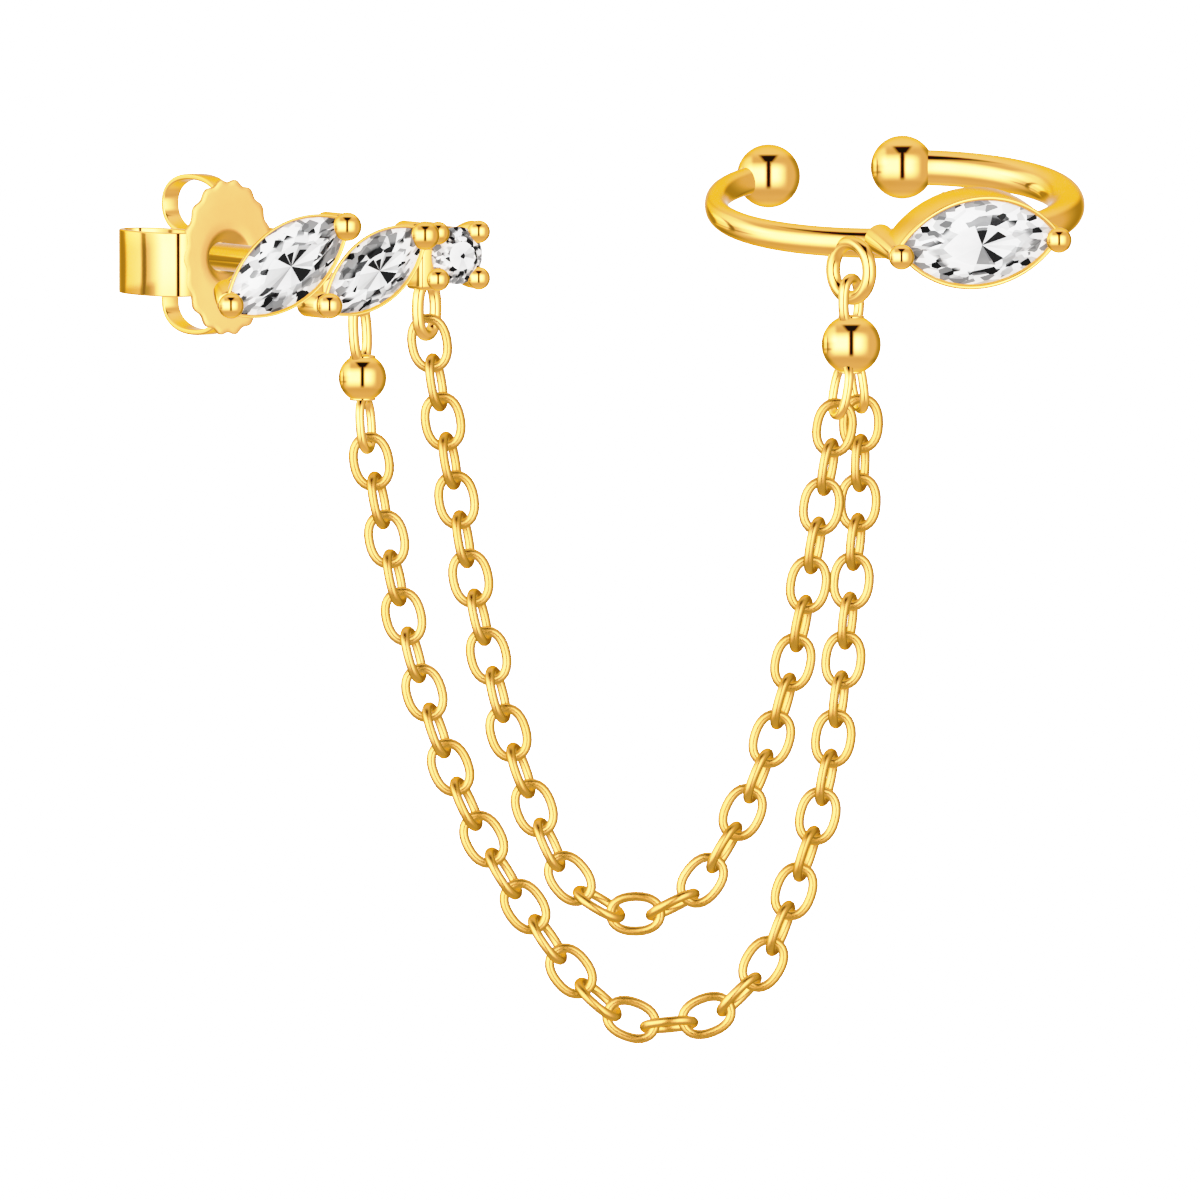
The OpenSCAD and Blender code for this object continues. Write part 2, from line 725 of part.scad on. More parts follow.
// Distance from the start of a run of points to each of them
function run_lengths(points) = [
    for (i = 0, s = 0; i < len(points);
        s = s + (i + 1 < len(points) ? norm(points[i + 1] - points[i]) : 0), i = i + 1) s
];

function between(points, lengths, s) = [
    for (k = [0 : 2]) lookup(s, [for (i = [0 : len(points) - 1]) [lengths[i], points[i][k]]])
];

// Links threaded along a route, each from one meeting point of the wires to the next,
// and every second one side on
module chain(route) {
    points = smooth_route(route, 6);
    lengths = run_lengths(points);
    total = lengths[len(lengths) - 1];
    count = 2 * round((total / link_pitch - 1) / 2) + 1;
    step = total / count;
    for (i = [0 : count - 1]) {
        p = between(points, lengths, i * step);
        q = between(points, lengths, (i + 1) * step);
        down = (q[2] < p[2] ? 1 : -1) * (q - p) / norm(q - p);
        swing = atan2(-down[1], -down[0]);
        translate((p + q) / 2)
            rotate([0, acos(-down[2]), swing])
                rotate([0, 0, -swing + (i % 2 == 0 ? 0 : 90 - side_turn)])
                    link(step + 2 * link_wire + link_play, link_w, link_wire);
    }
}

module outer_chain() {
    color("gold") in_hanging_plane([0, 0, 0]) chain(OUTER_ROUTE);
}

module inner_chain() {
    color("gold") in_hanging_plane([0, 0, 0]) chain(INNER_ROUTE);
}

stud_frame();
large_stone();
middle_stone();
round_stone();
ear_nut();
ear_cuff();
cuff_stone();
left_bead();
right_bead();
outer_chain();
inner_chain();
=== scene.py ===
"""The looks of a gold ear chain earring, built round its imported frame.

Every shape is made in millimetres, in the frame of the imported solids, and becomes metres when its
piece is finished. The stud's face stands towards -Y; the chains hang in an upright plane that is
turned from it.
"""

import logging
import math
from collections.abc import Callable
from dataclasses import dataclass, field
from enum import Enum

import bmesh
import bpy
from mathutils import Matrix, Vector


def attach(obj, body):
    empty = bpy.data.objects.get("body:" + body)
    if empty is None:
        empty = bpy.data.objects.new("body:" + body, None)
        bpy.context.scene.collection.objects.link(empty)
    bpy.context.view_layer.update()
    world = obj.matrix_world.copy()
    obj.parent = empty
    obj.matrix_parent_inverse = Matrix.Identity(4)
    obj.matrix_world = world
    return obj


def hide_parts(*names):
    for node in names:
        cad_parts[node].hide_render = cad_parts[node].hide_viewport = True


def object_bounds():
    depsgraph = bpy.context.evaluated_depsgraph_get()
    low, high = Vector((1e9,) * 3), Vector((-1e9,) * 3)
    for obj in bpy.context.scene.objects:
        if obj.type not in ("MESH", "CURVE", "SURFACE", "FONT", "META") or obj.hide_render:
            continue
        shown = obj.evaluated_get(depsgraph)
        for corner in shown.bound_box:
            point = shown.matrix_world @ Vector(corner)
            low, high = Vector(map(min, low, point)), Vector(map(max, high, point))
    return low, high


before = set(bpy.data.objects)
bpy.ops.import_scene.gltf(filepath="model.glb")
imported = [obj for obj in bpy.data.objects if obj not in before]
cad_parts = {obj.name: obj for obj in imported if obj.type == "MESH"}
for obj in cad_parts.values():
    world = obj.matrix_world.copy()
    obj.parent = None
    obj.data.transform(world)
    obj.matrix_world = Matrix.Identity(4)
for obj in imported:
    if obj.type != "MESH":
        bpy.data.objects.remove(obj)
CAD_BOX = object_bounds()

Pair = tuple[float, float]
Triple = tuple[float, float, float]
Span = tuple[float, float, float, float]
Steps = tuple[Pair, ...]

MM = 0.001
WELD = 1e-5
log = logging.getLogger("earring")


class Body(Enum):
    """The bodies that a piece can ride on."""

    EARRING = "earring"
    EAR_NUT = "ear_nut"


class Slot(Enum):
    """The record's material slots."""

    GOLD = "gold_metal"
    STONE = "clear_stone"


# Places


def move(x: float, y: float, z: float) -> Matrix:
    """Returns the matrix that moves by x, y and z."""
    return Matrix.Translation((x, y, z))


def turn(degrees: float, axis: str) -> Matrix:
    """Returns the matrix that turns by degrees about the axis X, Y or Z."""
    return Matrix.Rotation(math.radians(degrees), 4, axis)


def stretch(x: float, y: float, z: float) -> Matrix:
    """Returns the matrix that scales by x, y and z."""
    return Matrix.Diagonal((x, y, z, 1))


def along(start: Vector, end: Vector) -> Matrix:
    """Returns the place whose Z runs from start towards end.

    Args:
        start: The new origin.
        end: The point that Z looks at.

    Returns:
        The matrix of that place.
    """
    swing = Vector((0, 0, 1)).rotation_difference(end - start)
    return Matrix.Translation(start) @ swing.to_matrix().to_4x4()


STUD_FACE = turn(90, "X")
HANGING = turn(-30, "Z")
CUFF = HANGING @ move(19.6, 6.5, 1.5) @ turn(13, "X")
CUFF_FRONT = CUFF @ move(2.15, -4.49, 0.42) @ turn(18, "Z") @ turn(90, "X")


# Shader graphs


def math_method(operation: str, swapped: bool = False) -> Callable[["Value", object], "Value"]:
    """Makes a method that joins a value and another number by one Math node.

    Args:
        operation: The node's operation.
        swapped: Whether the other number comes first.

    Returns:
        The method.
    """

    def method(self: "Value", other: "Value | float") -> "Value":
        """Returns the result of the operation."""
        return self.graph.math(operation, *((other, self) if swapped else (self, other)))

    return method


class Value:
    """A number in a shader, which adds its Math nodes as an expression is written."""

    __add__, __radd__ = math_method("ADD"), math_method("ADD", True)
    __sub__, __rsub__ = math_method("SUBTRACT"), math_method("SUBTRACT", True)
    __mul__, __rmul__ = math_method("MULTIPLY"), math_method("MULTIPLY", True)
    __truediv__ = math_method("DIVIDE")

    def __init__(self, graph: "Graph", socket: bpy.types.NodeSocket) -> None:
        """Wraps one socket of a graph."""
        self.graph = graph
        self.socket = socket

    def math(self, operation: str, *others: "Value | float") -> "Value":
        """Returns the result of a Math node whose first input is this value."""
        return self.graph.math(operation, self, *others)


class Graph:
    """A node tree that is being written."""

    def __init__(self, tree: bpy.types.NodeTree) -> None:
        """Empties the tree."""
        self.tree = tree
        tree.nodes.clear()

    def node(self, kind: str, inputs: dict | None = None, **settings: str) -> bpy.types.Node:
        """Adds a node.

        Args:
            kind: The node's type.
            inputs: What its sockets get, by name or number: a Value, a socket or a constant.
            settings: Its own settings, which are set first.

        Returns:
            The new node.
        """
        made = self.tree.nodes.new(kind)
        for name, value in settings.items():
            setattr(made, name, value)
        for name, value in (inputs or {}).items():
            self.feed(made.inputs[name], value)
        return made

    def feed(self, socket: bpy.types.NodeSocket, value: object) -> None:
        """Links a value to a socket, or sets the socket to a constant."""
        if isinstance(value, Value):
            value = value.socket
        if isinstance(value, bpy.types.NodeSocket):
            self.tree.links.new(value, socket)
        else:
            socket.default_value = value

    def math(self, operation: str, *values: "Value | float") -> Value:
        """Returns the result of a Math node."""
        made = self.node("ShaderNodeMath", dict(enumerate(values)), operation=operation)
        return Value(self, made.outputs[0])

    def band(self, value: Value, low: float, high: float) -> Value:
        """Returns a share that eases from 0 at low to 1 at high."""
        inputs = {"Value": value, "From Min": low, "From Max": high}
        made = self.node("ShaderNodeMapRange", inputs, interpolation_type="SMOOTHSTEP")
        return Value(self, made.outputs[0])

    def span(self, value: Value, places: Span) -> Value:
        """Returns a share that eases up between two places and down between the other two."""
        return self.band(value, *places[:2]) * (1 - self.band(value, *places[2:]))

    def mix(self, share: "Value | float", first: object, second: object) -> bpy.types.NodeSocket:
        """Returns a mix of two colours.

        Args:
            share: 0 for the first colour, 1 for the second.
            first: A colour or a socket.
            second: A colour or a socket.

        Returns:
            The socket of the mixed colour.
        """
        inputs = {"Factor": share, 6: first, 7: second}
        return self.node("ShaderNodeMix", inputs, data_type="RGBA").outputs[2]

    def steps(self, value: Value, stops: Steps) -> Value:
        """Reads a row of greys.

        Args:
            value: Where to read it, from 0 to 1.
            stops: Places, the first of them 0, and the grey from each up to the next.

        Returns:
            The grey there.
        """
        made = self.node("ShaderNodeValToRGB", {0: value})
        made.color_ramp.interpolation = "CONSTANT"
        while len(made.color_ramp.elements) < len(stops):
            made.color_ramp.elements.new(1.0)
        for element, (place, grey) in zip(made.color_ramp.elements, stops):
            element.position = place
            element.color = (grey, grey, grey, 1)
        return Value(self, made.outputs[0])

    def noise(self, vector: object, scale: float, detail: float = 2.0) -> Value:
        """Returns fractal noise of about 0 to 1 at a vector."""
        inputs = {"Vector": vector, "Scale": scale, "Detail": detail}
        return Value(self, self.node("ShaderNodeTexNoise", inputs).outputs[0])

    def surface(self, shader: str, inputs: dict, output: str = "ShaderNodeOutputMaterial") -> None:
        """Adds a shader and the output that it feeds."""
        self.node(output, {"Surface": self.node(shader, inputs).outputs[0]})


def new_material(name: str) -> tuple[bpy.types.Material, Graph]:
    """Returns a new material and its empty graph."""
    made = bpy.data.materials.new(name)
    made.use_nodes = True
    return made, Graph(made.node_tree)


# Finishes


@dataclass(frozen=True)
class GoldFinish:
    """Polished or satin yellow gold plate."""

    name: str
    colour: Triple = (0.96, 0.47, 0.13)
    deep_colour: Triple = (0.92, 0.44, 0.11)
    edge_colour: Triple = (0.97, 0.68, 0.28)
    low_roughness: float = 0.03
    high_roughness: float = 0.08
    coat: float = 0.12
    coat_roughness: float = 0.03
    grain_scale: float = 9.0
    grain_height: float = 0.0004
    sway_scale: float = 0.9
    sway_height: float = 0.0012

    def material(self) -> bpy.types.Material:
        """Returns the material, with its patterns in the frame's millimetres."""
        made, graph = new_material(self.name)
        place = graph.node("ShaderNodeTexCoord").outputs["Object"]
        inputs = {"Vector": place, "Scale": (1 / MM,) * 3}
        per_mm = graph.node("ShaderNodeMapping", inputs).outputs[0]
        cloud = graph.noise(per_mm, 0.5, 3.0)
        grain = graph.noise(per_mm, self.grain_scale, 4.0)
        sway = graph.noise(per_mm, self.sway_scale, 1.0)
        colour = graph.mix(graph.band(cloud, 0.3, 0.7), (*self.colour, 1), (*self.deep_colour, 1))
        spread = self.high_roughness - self.low_roughness
        roughness = self.low_roughness + spread * graph.band(grain * 0.5 + cloud * 0.5, 0.35, 0.7)
        height = grain * self.grain_height + sway * self.sway_height
        relief = graph.node("ShaderNodeBump", {"Height": height, "Distance": MM, "Strength": 1.0})
        inputs = {
            "Base Color": colour,
            "Metallic": 1.0,
            "Specular Tint": (*self.edge_colour, 1),
            "Roughness": roughness,
            "Coat Weight": self.coat,
            "Coat Roughness": self.coat_roughness,
            "Normal": relief.outputs[0],
        }
        graph.surface("ShaderNodeBsdfPrincipled", inputs)
        return made


@dataclass(frozen=True)
class Net:
    """A net of straight-sided cells in a stone's painted reflection: its scale, and the greys of its
    cells by their numbers.
    """

    scale: float
    greys: Steps


@dataclass(frozen=True)
class StoneFinish:
    """A clear cut stone with painted reflections: the play of its back facets, seen through its
    front, is painted into its base colour as greys.

    The wedges and fans run round the culet; their places are shares of a turn from the left tip.
    """

    wedges: Steps
    fans: Steps
    seed: float
    wedge_dark: float = 0.99
    fan_reach: float = 0.38
    fan_swing: float = 0.12
    rays: Pair = (13, 2.2)
    edge_rays: Pair = (24, 5)
    edge: Pair = (0.62, 0.74)
    broad: Net = Net(4.3, ((0, 0.03), (0.28, 0.45), (0.35, 0.72), (0.44, 0.9), (0.56, 1.0)))
    inner: Net = Net(1.3, ((0, 0.1), (0.2, 0.6), (0.34, 0.82), (0.5, 1.0)))
    outer: Net = Net(1.5, ((0, 0.03), (0.25, 0.4), (0.36, 0.7), (0.48, 1.0)))
    contrast: float = 1.4
    # The blackest and the whitest greys of the painted reflection
    dark: Triple = (0.006, 0.0065, 0.007)
    white: Triple = (0.8, 0.8024, 0.808)
    roughness: float = 0.03
    ior: float = 1.5
    shine: float = 0.2
    transmission: float = 0.12

    def material(self, stone: "Stone") -> bpy.types.Material:
        """Works out the material of a stone, its painted reflection pattern centred and turned with
        it.

        Args:
            stone: The stone that it is for.

        Returns:
            The material.
        """
        made, graph = new_material(stone.name + "_painted_reflections")
        local, across, up, radius = self.plan(graph, stone)
        angle = graph.math("ARCTAN2", up, across) / (2 * math.pi) + 0.5
        # Painted reflection: grey fans and dark wedges round the culet, over nets of painted facet
        # reflections
        shade = self.painted_facet_reflections(graph, local, angle, radius)
        fan = graph.steps(angle, self.fans)
        in_fan = graph.math("LESS_THAN", radius, self.fan_reach + self.fan_swing * fan)
        shade = in_fan * fan * (0.82 + 0.3 * radius) + (1 - in_fan) * shade
        reach = graph.steps(angle, self.wedges)
        shade = shade * (1 - self.wedge_dark * graph.math("LESS_THAN", radius, reach))
        cloud = graph.noise(local, 5.0)
        shade = (shade * (0.9 + 0.2 * cloud)).math("MINIMUM", 1.0).math("POWER", self.contrast)
        inputs = {
            "Base Color": graph.mix(shade, (*self.dark, 1), (*self.white, 1)),
            "Roughness": self.roughness,
            "IOR": self.ior,
            "Specular IOR Level": self.shine,
            "Transmission Weight": self.transmission,
        }
        graph.surface("ShaderNodeBsdfPrincipled", inputs)
        return made

    def plan(
        self, graph: Graph, stone: "Stone"
    ) -> tuple[bpy.types.NodeSocket, Value, Value, Value]:
        """Reads a stone's own plan.

        Args:
            graph: The graph of its material.
            stone: The stone.

        Returns:
            The plan as a vector, the places along and across it from -1 to 1, and the share of
            the way out to the girdle.
        """
        inputs = {
            "Vector": graph.node("ShaderNodeTexCoord").outputs["Object"],
            "Location": stone.place.to_translation() * MM,
            "Rotation": stone.place.to_euler(),
            "Scale": (stone.length / 2 * MM, stone.width / 2 * MM, 1),
        }
        local = graph.node("ShaderNodeMapping", inputs, vector_type="TEXTURE").outputs[0]
        parts = graph.node("ShaderNodeSeparateXYZ", {0: local}).outputs
        x, y = Value(graph, parts[0]), Value(graph, parts[1])
        if stone.pointed:
            side = y.math("ABSOLUTE")
            root = (side * side + x * x * 4).math("SQRT")
            return local, x, y, (side + root) * 0.5
        return local, x, y, (x * x + y * y).math("SQRT")

    def painted_facet_reflections(self, graph: Graph, local: object, angle: Value, radius: Value) -> Value:
        """Lays three nets of painted facet reflections over each other, the finest along the edge.

        Args:
            graph: The graph of the material.
            local: The stone's plan.
            angle: The share of a turn round the culet.
            radius: The share of the way out.

        Returns:
            The grey at each place.
        """
        fields = [local]
        for turns, rings in (self.rays, self.edge_rays):
            inputs = {0: angle * turns, 1: radius * rings, 2: self.seed * 7}
            fields.append(graph.node("ShaderNodeCombineXYZ", inputs).outputs[0])
        greys = []
        for vector, net in zip(fields, (self.broad, self.inner, self.outer)):
            inputs = {0: vector, 1: (self.seed, 0, self.seed)}
            shift = graph.node("ShaderNodeVectorMath", inputs, operation="ADD").outputs[0]
            cells = graph.node("ShaderNodeTexVoronoi", {"Vector": shift, "Scale": net.scale})
            greys.append(graph.steps(Value(graph, cells.outputs["Color"]), net.greys))
        broad, rays, fine = greys
        edge = graph.band(radius, *self.edge)
        return broad * rays * (1 - edge) + edge * fine * (0.4 + 0.6 * broad)


POLISHED_GOLD = GoldFinish("polished_gold")
SATIN_GOLD = GoldFinish(
    "satin_gold",
    colour=(0.78, 0.385, 0.115),
    deep_colour=(0.7, 0.33, 0.095),
    low_roughness=0.34,
    high_roughness=0.44,
    grain_scale=22.0,
    grain_height=0.0012,
)
CHAIN_GOLD = GoldFinish(
    "chain_gold",
    colour=(0.67, 0.325, 0.09),
    deep_colour=(0.6, 0.28, 0.07),
    edge_colour=(0.9, 0.54, 0.16),
    low_roughness=0.24,
    high_roughness=0.34,
)


# Shapes


def oval_point(half_w: float, half_l: float, power: float, angle: float) -> Pair:
    """Returns a point of an oval at an angle, with fuller corners for a power less than 1."""
    across, up = math.cos(angle), math.sin(angle)
    across = math.copysign(abs(across) ** power, across)
    return half_w * across, half_l * math.copysign(abs(up) ** power, up)


def oval(half_w: float, half_l: float, power: float, steps: int) -> list[Vector]:
    """Works out points round an oval in the plane of X and Z.

    Args:
        half_w: Half its width, along X.
        half_l: Half its length, along Z.
        power: 1 for an ellipse, less for fuller corners.
        steps: How many points.

    Returns:
        The points.
    """
    angles = [2 * math.pi * i / steps for i in range(steps)]
    found = [oval_point(half_w, half_l, power, a) for a in angles]
    return [Vector((x, 0, z)) for x, z in found]


def lens_half(length: float, width: float, s: float) -> float:
    """Returns half the width of a pointed oval at the distance s from its middle."""
    r = (length * length + width * width) / (4 * width)
    return math.sqrt(r * r - s * s) - r + width / 2


def stations(
    place: Matrix,
    points: list[Vector],
    radii: list[Pair],
    normal: Triple = (0, 1, 0),
    closed: bool = False,
) -> list[Matrix]:
    """Works out the places of a wire's round sections.

    Args:
        place: The place of the whole wire.
        points: The points along the middle of the wire.
        radii: Half the wire's thickness in the plane of the bend and along the normal, at each.
        normal: The direction that the plane of the bend faces.
        closed: Whether the wire joins up.

    Returns:
        A place for each section, its Z along the wire.
    """
    count = len(points)
    made = []
    for i, (point, (wide, high)) in enumerate(zip(points, radii)):
        after = points[(i + 1) % count] if closed else points[min(i + 1, count - 1)]
        before = points[i - 1] if closed else points[max(i - 1, 0)]
        way = (after - before).normalized()
        side = way.cross(Vector(normal)).normalized()
        up = side.cross(way).normalized()
        turned = Matrix((side, up, way)).transposed().to_4x4()
        made.append(place @ (Matrix.Translation(point) @ turned @ stretch(wide, high, 1)))
    return made


def edges_of(verts: list) -> list:
    """Returns the edges of some vertices, each once and in a steady order."""
    return list(dict.fromkeys(e for v in verts for e in v.link_edges))


class Form:
    """A mesh in the making, in millimetres."""

    def __init__(self) -> None:
        """Starts empty."""
        self.bm = bmesh.new()

    def sweep(self, places: list[Matrix], sides: int, closed: bool = False) -> None:
        """Runs a round section through a row of places.

        Args:
            places: Where each section lies, its own X and Y its half axes.
            sides: The sides of a section.
            closed: Whether the last section meets the first.
        """
        made = bmesh.ops.create_circle(self.bm, segments=sides, radius=1, matrix=places[0])
        self.run(edges_of(made["verts"]), places, closed)

    def run(self, first: list, places: list[Matrix], closed: bool) -> None:
        """Carries a ring of edges, which is at the first place, through the others."""
        ring = first
        for before, after in zip(places, places[1:]):
            grown = bmesh.ops.extrude_edge_only(self.bm, edges=ring)["geom"]
            verts = [g for g in grown if isinstance(g, bmesh.types.BMVert)]
            fresh = set(verts)
            edges = [g for g in grown if isinstance(g, bmesh.types.BMEdge)]
            ring = [e for e in edges if all(v in fresh for v in e.verts)]
            bmesh.ops.transform(self.bm, matrix=after @ before.inverted(), verts=verts)
        if closed:
            bmesh.ops.bridge_loops(self.bm, edges=first + ring)
        else:
            bmesh.ops.edgeloop_fill(self.bm, edges=first)
            bmesh.ops.edgeloop_fill(self.bm, edges=ring)

    def ball(self, place: Matrix, radius: float, sides: int = 32) -> None:
        """Adds a ball."""
        bmesh.ops.create_uvsphere(
            self.bm, u_segments=sides, v_segments=sides // 2, radius=radius, matrix=place
        )

    def lathe(self, profile: list[Pair], place: Matrix, steps: int = 32) -> None:
        """Turns a profile about the Z of a place.

        Args:
            profile: Radii and heights, from one end to the other.
            place: Where the turned shape goes.
            steps: The sides of a full turn.
        """
        verts = [self.bm.verts.new((r, 0, z)) for r, z in profile]
        edges = [self.bm.edges.new(pair) for pair in zip(verts, verts[1:])]
        before = set(self.bm.verts) - set(verts)
        bmesh.ops.spin(
            self.bm,
            geom=verts + edges,
            cent=(0, 0, 0),
            axis=(0, 0, 1),
            angle=2 * math.pi,
            steps=steps,
            use_merge=True,
        )
        bmesh.ops.remove_doubles(self.bm, verts=self.since(before), dist=WELD)
        bmesh.ops.transform(self.bm, matrix=place, verts=self.since(before))

    def block(self, place: Matrix, size: Triple, edge: float) -> None:
        """Adds a block with rounded edges.

        Args:
            place: The place of its middle.
            size: Its sizes along X, Y and Z.
            edge: The width of its rounded edges.
        """
        made = bmesh.ops.create_cube(self.bm, size=1, matrix=place @ stretch(*size))["verts"]
        self.round_off(edges_of(made), edge, "EDGES")

    def round_off(self, geom: list, width: float, affect: str) -> None:
        """Rounds off edges or corners."""
        bmesh.ops.bevel(
            self.bm, geom=geom, offset=width, affect=affect, segments=3, profile=0.5, material=-1
        )

    def section(self, corners: list[Pair], edge: float) -> tuple[list, list]:
        """Makes the outline of a section in the plane of X and Y, with rounded corners.

        Args:
            corners: Its corners.
            edge: The width of the rounding.

        Returns:
            The outline's vertices and edges.
        """
        before = set(self.bm.verts)
        verts = [self.bm.verts.new((x, y, 0)) for x, y in corners]
        self.bm.faces.new(verts)
        self.round_off(verts, edge, "VERTICES")
        verts = self.since(before)
        faces = list(dict.fromkeys(f for v in verts for f in v.link_faces))
        bmesh.ops.delete(self.bm, geom=faces, context="FACES_ONLY")
        return verts, edges_of(verts)

    def strip(self, places: list[Matrix], width: float, thick: float, edge: float) -> None:
        """Runs a strip of sheet through a row of places, its thickness along their X."""
        half_t, half_w = thick / 2, width / 2
        corners = [(-half_t, -half_w), (half_t, -half_w), (half_t, half_w), (-half_t, half_w)]
        verts, first = self.section(corners, edge)
        bmesh.ops.transform(self.bm, matrix=places[0], verts=verts)
        self.run(first, places, False)

    def wire_ring(
        self, place: Matrix, points: list[Vector], radius: float, sides: int = 14
    ) -> None:
        """Adds a closed wire that lies in the plane of X and Z of a place."""
        radii = [(radius, radius)] * len(points)
        self.sweep(stations(place, points, radii, closed=True), sides, True)

    def pointed_band(
        self,
        place: Matrix,
        length: float,
        width: float,
        profile: list[Pair],
        edge: float,
    ) -> None:
        """Runs a profile round a pointed oval, with mitred tips.

        Args:
            place: The place of the oval.
            length: The oval's length.
            width: The oval's width.
            profile: Corners of the band's section: the distance outside the oval, and the height.
            edge: The width of the section's rounded corners.
        """
        r = (length * length + width * width) / (4 * width)
        middle = width / 2 - r
        outermost = max(out for out, _ in profile)
        reach = math.acos((r - width / 2) / (r + outermost)) + 0.05
        before = set(self.bm.verts)
        verts, edges = self.section([(out, z) for out, z in profile], edge)
        upright = move(0, middle + r, 0) @ turn(90, "Z") @ turn(90, "X")
        bmesh.ops.transform(self.bm, matrix=upright, verts=verts)
        around, back = Vector((0, middle, 0)), Matrix.Rotation(-reach, 3, "Z")
        bmesh.ops.rotate(self.bm, cent=around, matrix=back, verts=verts)
        bmesh.ops.spin(
            self.bm, geom=verts + edges, cent=around, axis=(0, 0, 1), angle=2 * reach, steps=40
        )
        mine = self.geometry(before)
        bmesh.ops.bisect_plane(
            self.bm, geom=mine, plane_co=(0, 0, 0), plane_no=(0, 1, 0), clear_inner=True, dist=WELD
        )
        mine = self.geometry(before)
        bmesh.ops.mirror(self.bm, geom=mine, axis="Y", merge_dist=10 * WELD)
        bmesh.ops.transform(self.bm, matrix=place, verts=self.since(before))

    def since(self, before: set) -> list:
        """Returns the vertices that were made since a set of vertices was taken."""
        return [v for v in self.bm.verts if v not in before]

    def geometry(self, before: set) -> list:
        """Returns the vertices, edges and faces made since a set of vertices was taken."""
        verts = self.since(before)
        fresh = set(verts)
        edges = [e for e in self.bm.edges if all(v in fresh for v in e.verts)]
        faces = [f for f in self.bm.faces if all(v in fresh for v in f.verts)]
        return verts + edges + faces

    def copies(self, other: "Form", places: list[Matrix]) -> None:
        """Adds a copy of another form at each place."""
        pattern = bpy.data.meshes.new("pattern")
        other.bm.to_mesh(pattern)
        for place in places:
            start = len(self.bm.verts)
            self.bm.from_mesh(pattern)
            self.bm.verts.ensure_lookup_table()
            bmesh.ops.transform(self.bm, matrix=place, verts=self.bm.verts[start:])
        bpy.data.meshes.remove(pattern)
        other.bm.free()

    def finish(
        self,
        name: str,
        material: bpy.types.Material,
        nodes: tuple[str, ...],
        slot: Slot = Slot.GOLD,
        body: Body = Body.EARRING,
        sharp: float = 38.0,
    ) -> bpy.types.Object:
        """Makes the mesh a piece of the earring, which the pieces beside it don't mirror.

        Args:
            name: The piece's name.
            material: Its finish.
            nodes: The solids that it stands for.
            slot: The record's slot of its finish; not used.
            body: The body that it rides on.
            sharp: The angle past which an edge stays sharp, 0 for flat facets.

        Returns:
            The piece.
        """
        bmesh.ops.remove_doubles(self.bm, verts=self.bm.verts, dist=WELD)
        bmesh.ops.recalc_face_normals(self.bm, faces=self.bm.faces)
        bmesh.ops.scale(self.bm, vec=(MM, MM, MM), verts=self.bm.verts)
        mesh = bpy.data.meshes.new(name)
        self.bm.to_mesh(mesh)
        self.bm.free()
        mesh.polygons.foreach_set("use_smooth", [sharp > 0] * len(mesh.polygons))
        if sharp:
            mesh.set_sharp_from_angle(angle=math.radians(sharp))
        mesh.materials.append(material)
        piece = bpy.data.objects.new(name, mesh)
        piece.visible_glossy = False
        bpy.context.scene.collection.objects.link(piece)
        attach(piece, body.value)
        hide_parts(*nodes)
        log.info("%s: %d faces", name, len(mesh.polygons))
        return piece


# Stones and their settings


STONE_GAP = 0.03
SEAT_HIGH = 0.1
SEAT_LOW = 0.2
LEDGE = 0.12


@dataclass
class Stone:
    """A cut stone, with its girdle's underside at height 0 of its place."""

    name: str
    place: Matrix
    length: float
    width: float
    finish: StoneFinish
    pointed: bool = True
    crown: float = 0.3
    pavilion: float = 0.8
    girdle: float = 0.06
    table: float = 0.56
    star_ring: Pair = (0.97, 0.62)
    culet_ring: Pair = (0.24, 0.8)
    mains: int = 8
    flat_angle: float = 1.5

    def outline(self, steps: int, share: float, height: float, shift: float = 0.0) -> list[Vector]:
        """Works out points round the stone.

        Args:
            steps: How many points.
            share: The share of the stone's size.
            height: The height of the points.
            shift: The share of a step by which the points are turned.

        Returns:
            The points.
        """
        made = []
        for i in range(steps):
            a = 2 * math.pi * (i + shift) / steps
            along_it = math.cos(a) * self.length / 2
            if self.pointed:
                across = lens_half(self.length, self.width, abs(along_it))
                across = math.copysign(across, math.sin(a)) * (abs(math.sin(a)) > 1e-6)
            else:
                across = math.sin(a) * self.width / 2
            made.append(Vector((along_it * share, across * share, height)))
        return made

    def build(self) -> bpy.types.Object:
        """Returns the finished stone."""
        form = Form()
        middle = (1 + self.table) / 2
        points = [Vector((0, 0, -self.pavilion))]
        points += self.outline(4 * self.mains, 1, 0)
        points += self.outline(4 * self.mains, 1, self.girdle)
        points += self.outline(self.mains, self.table, self.girdle + self.crown)
        share, rise = self.star_ring
        points += self.outline(self.mains, middle * share, self.girdle + self.crown * rise, 0.5)
        share, drop = self.culet_ring
        points += self.outline(self.mains, share, -self.pavilion * drop, 0.5)
        verts = [form.bm.verts.new(p) for p in points]
        hull = bmesh.ops.convex_hull(form.bm, input=verts)
        bmesh.ops.delete(form.bm, geom=hull["geom_interior"], context="VERTS")
        flat = math.radians(self.flat_angle)
        bmesh.ops.dissolve_limit(
            form.bm, angle_limit=flat, verts=form.bm.verts, edges=form.bm.edges
        )
        bmesh.ops.transform(form.bm, matrix=self.place, verts=form.bm.verts)
        return form.finish(self.name, self.finish.material(self), (self.name,), Slot.STONE, sharp=0)


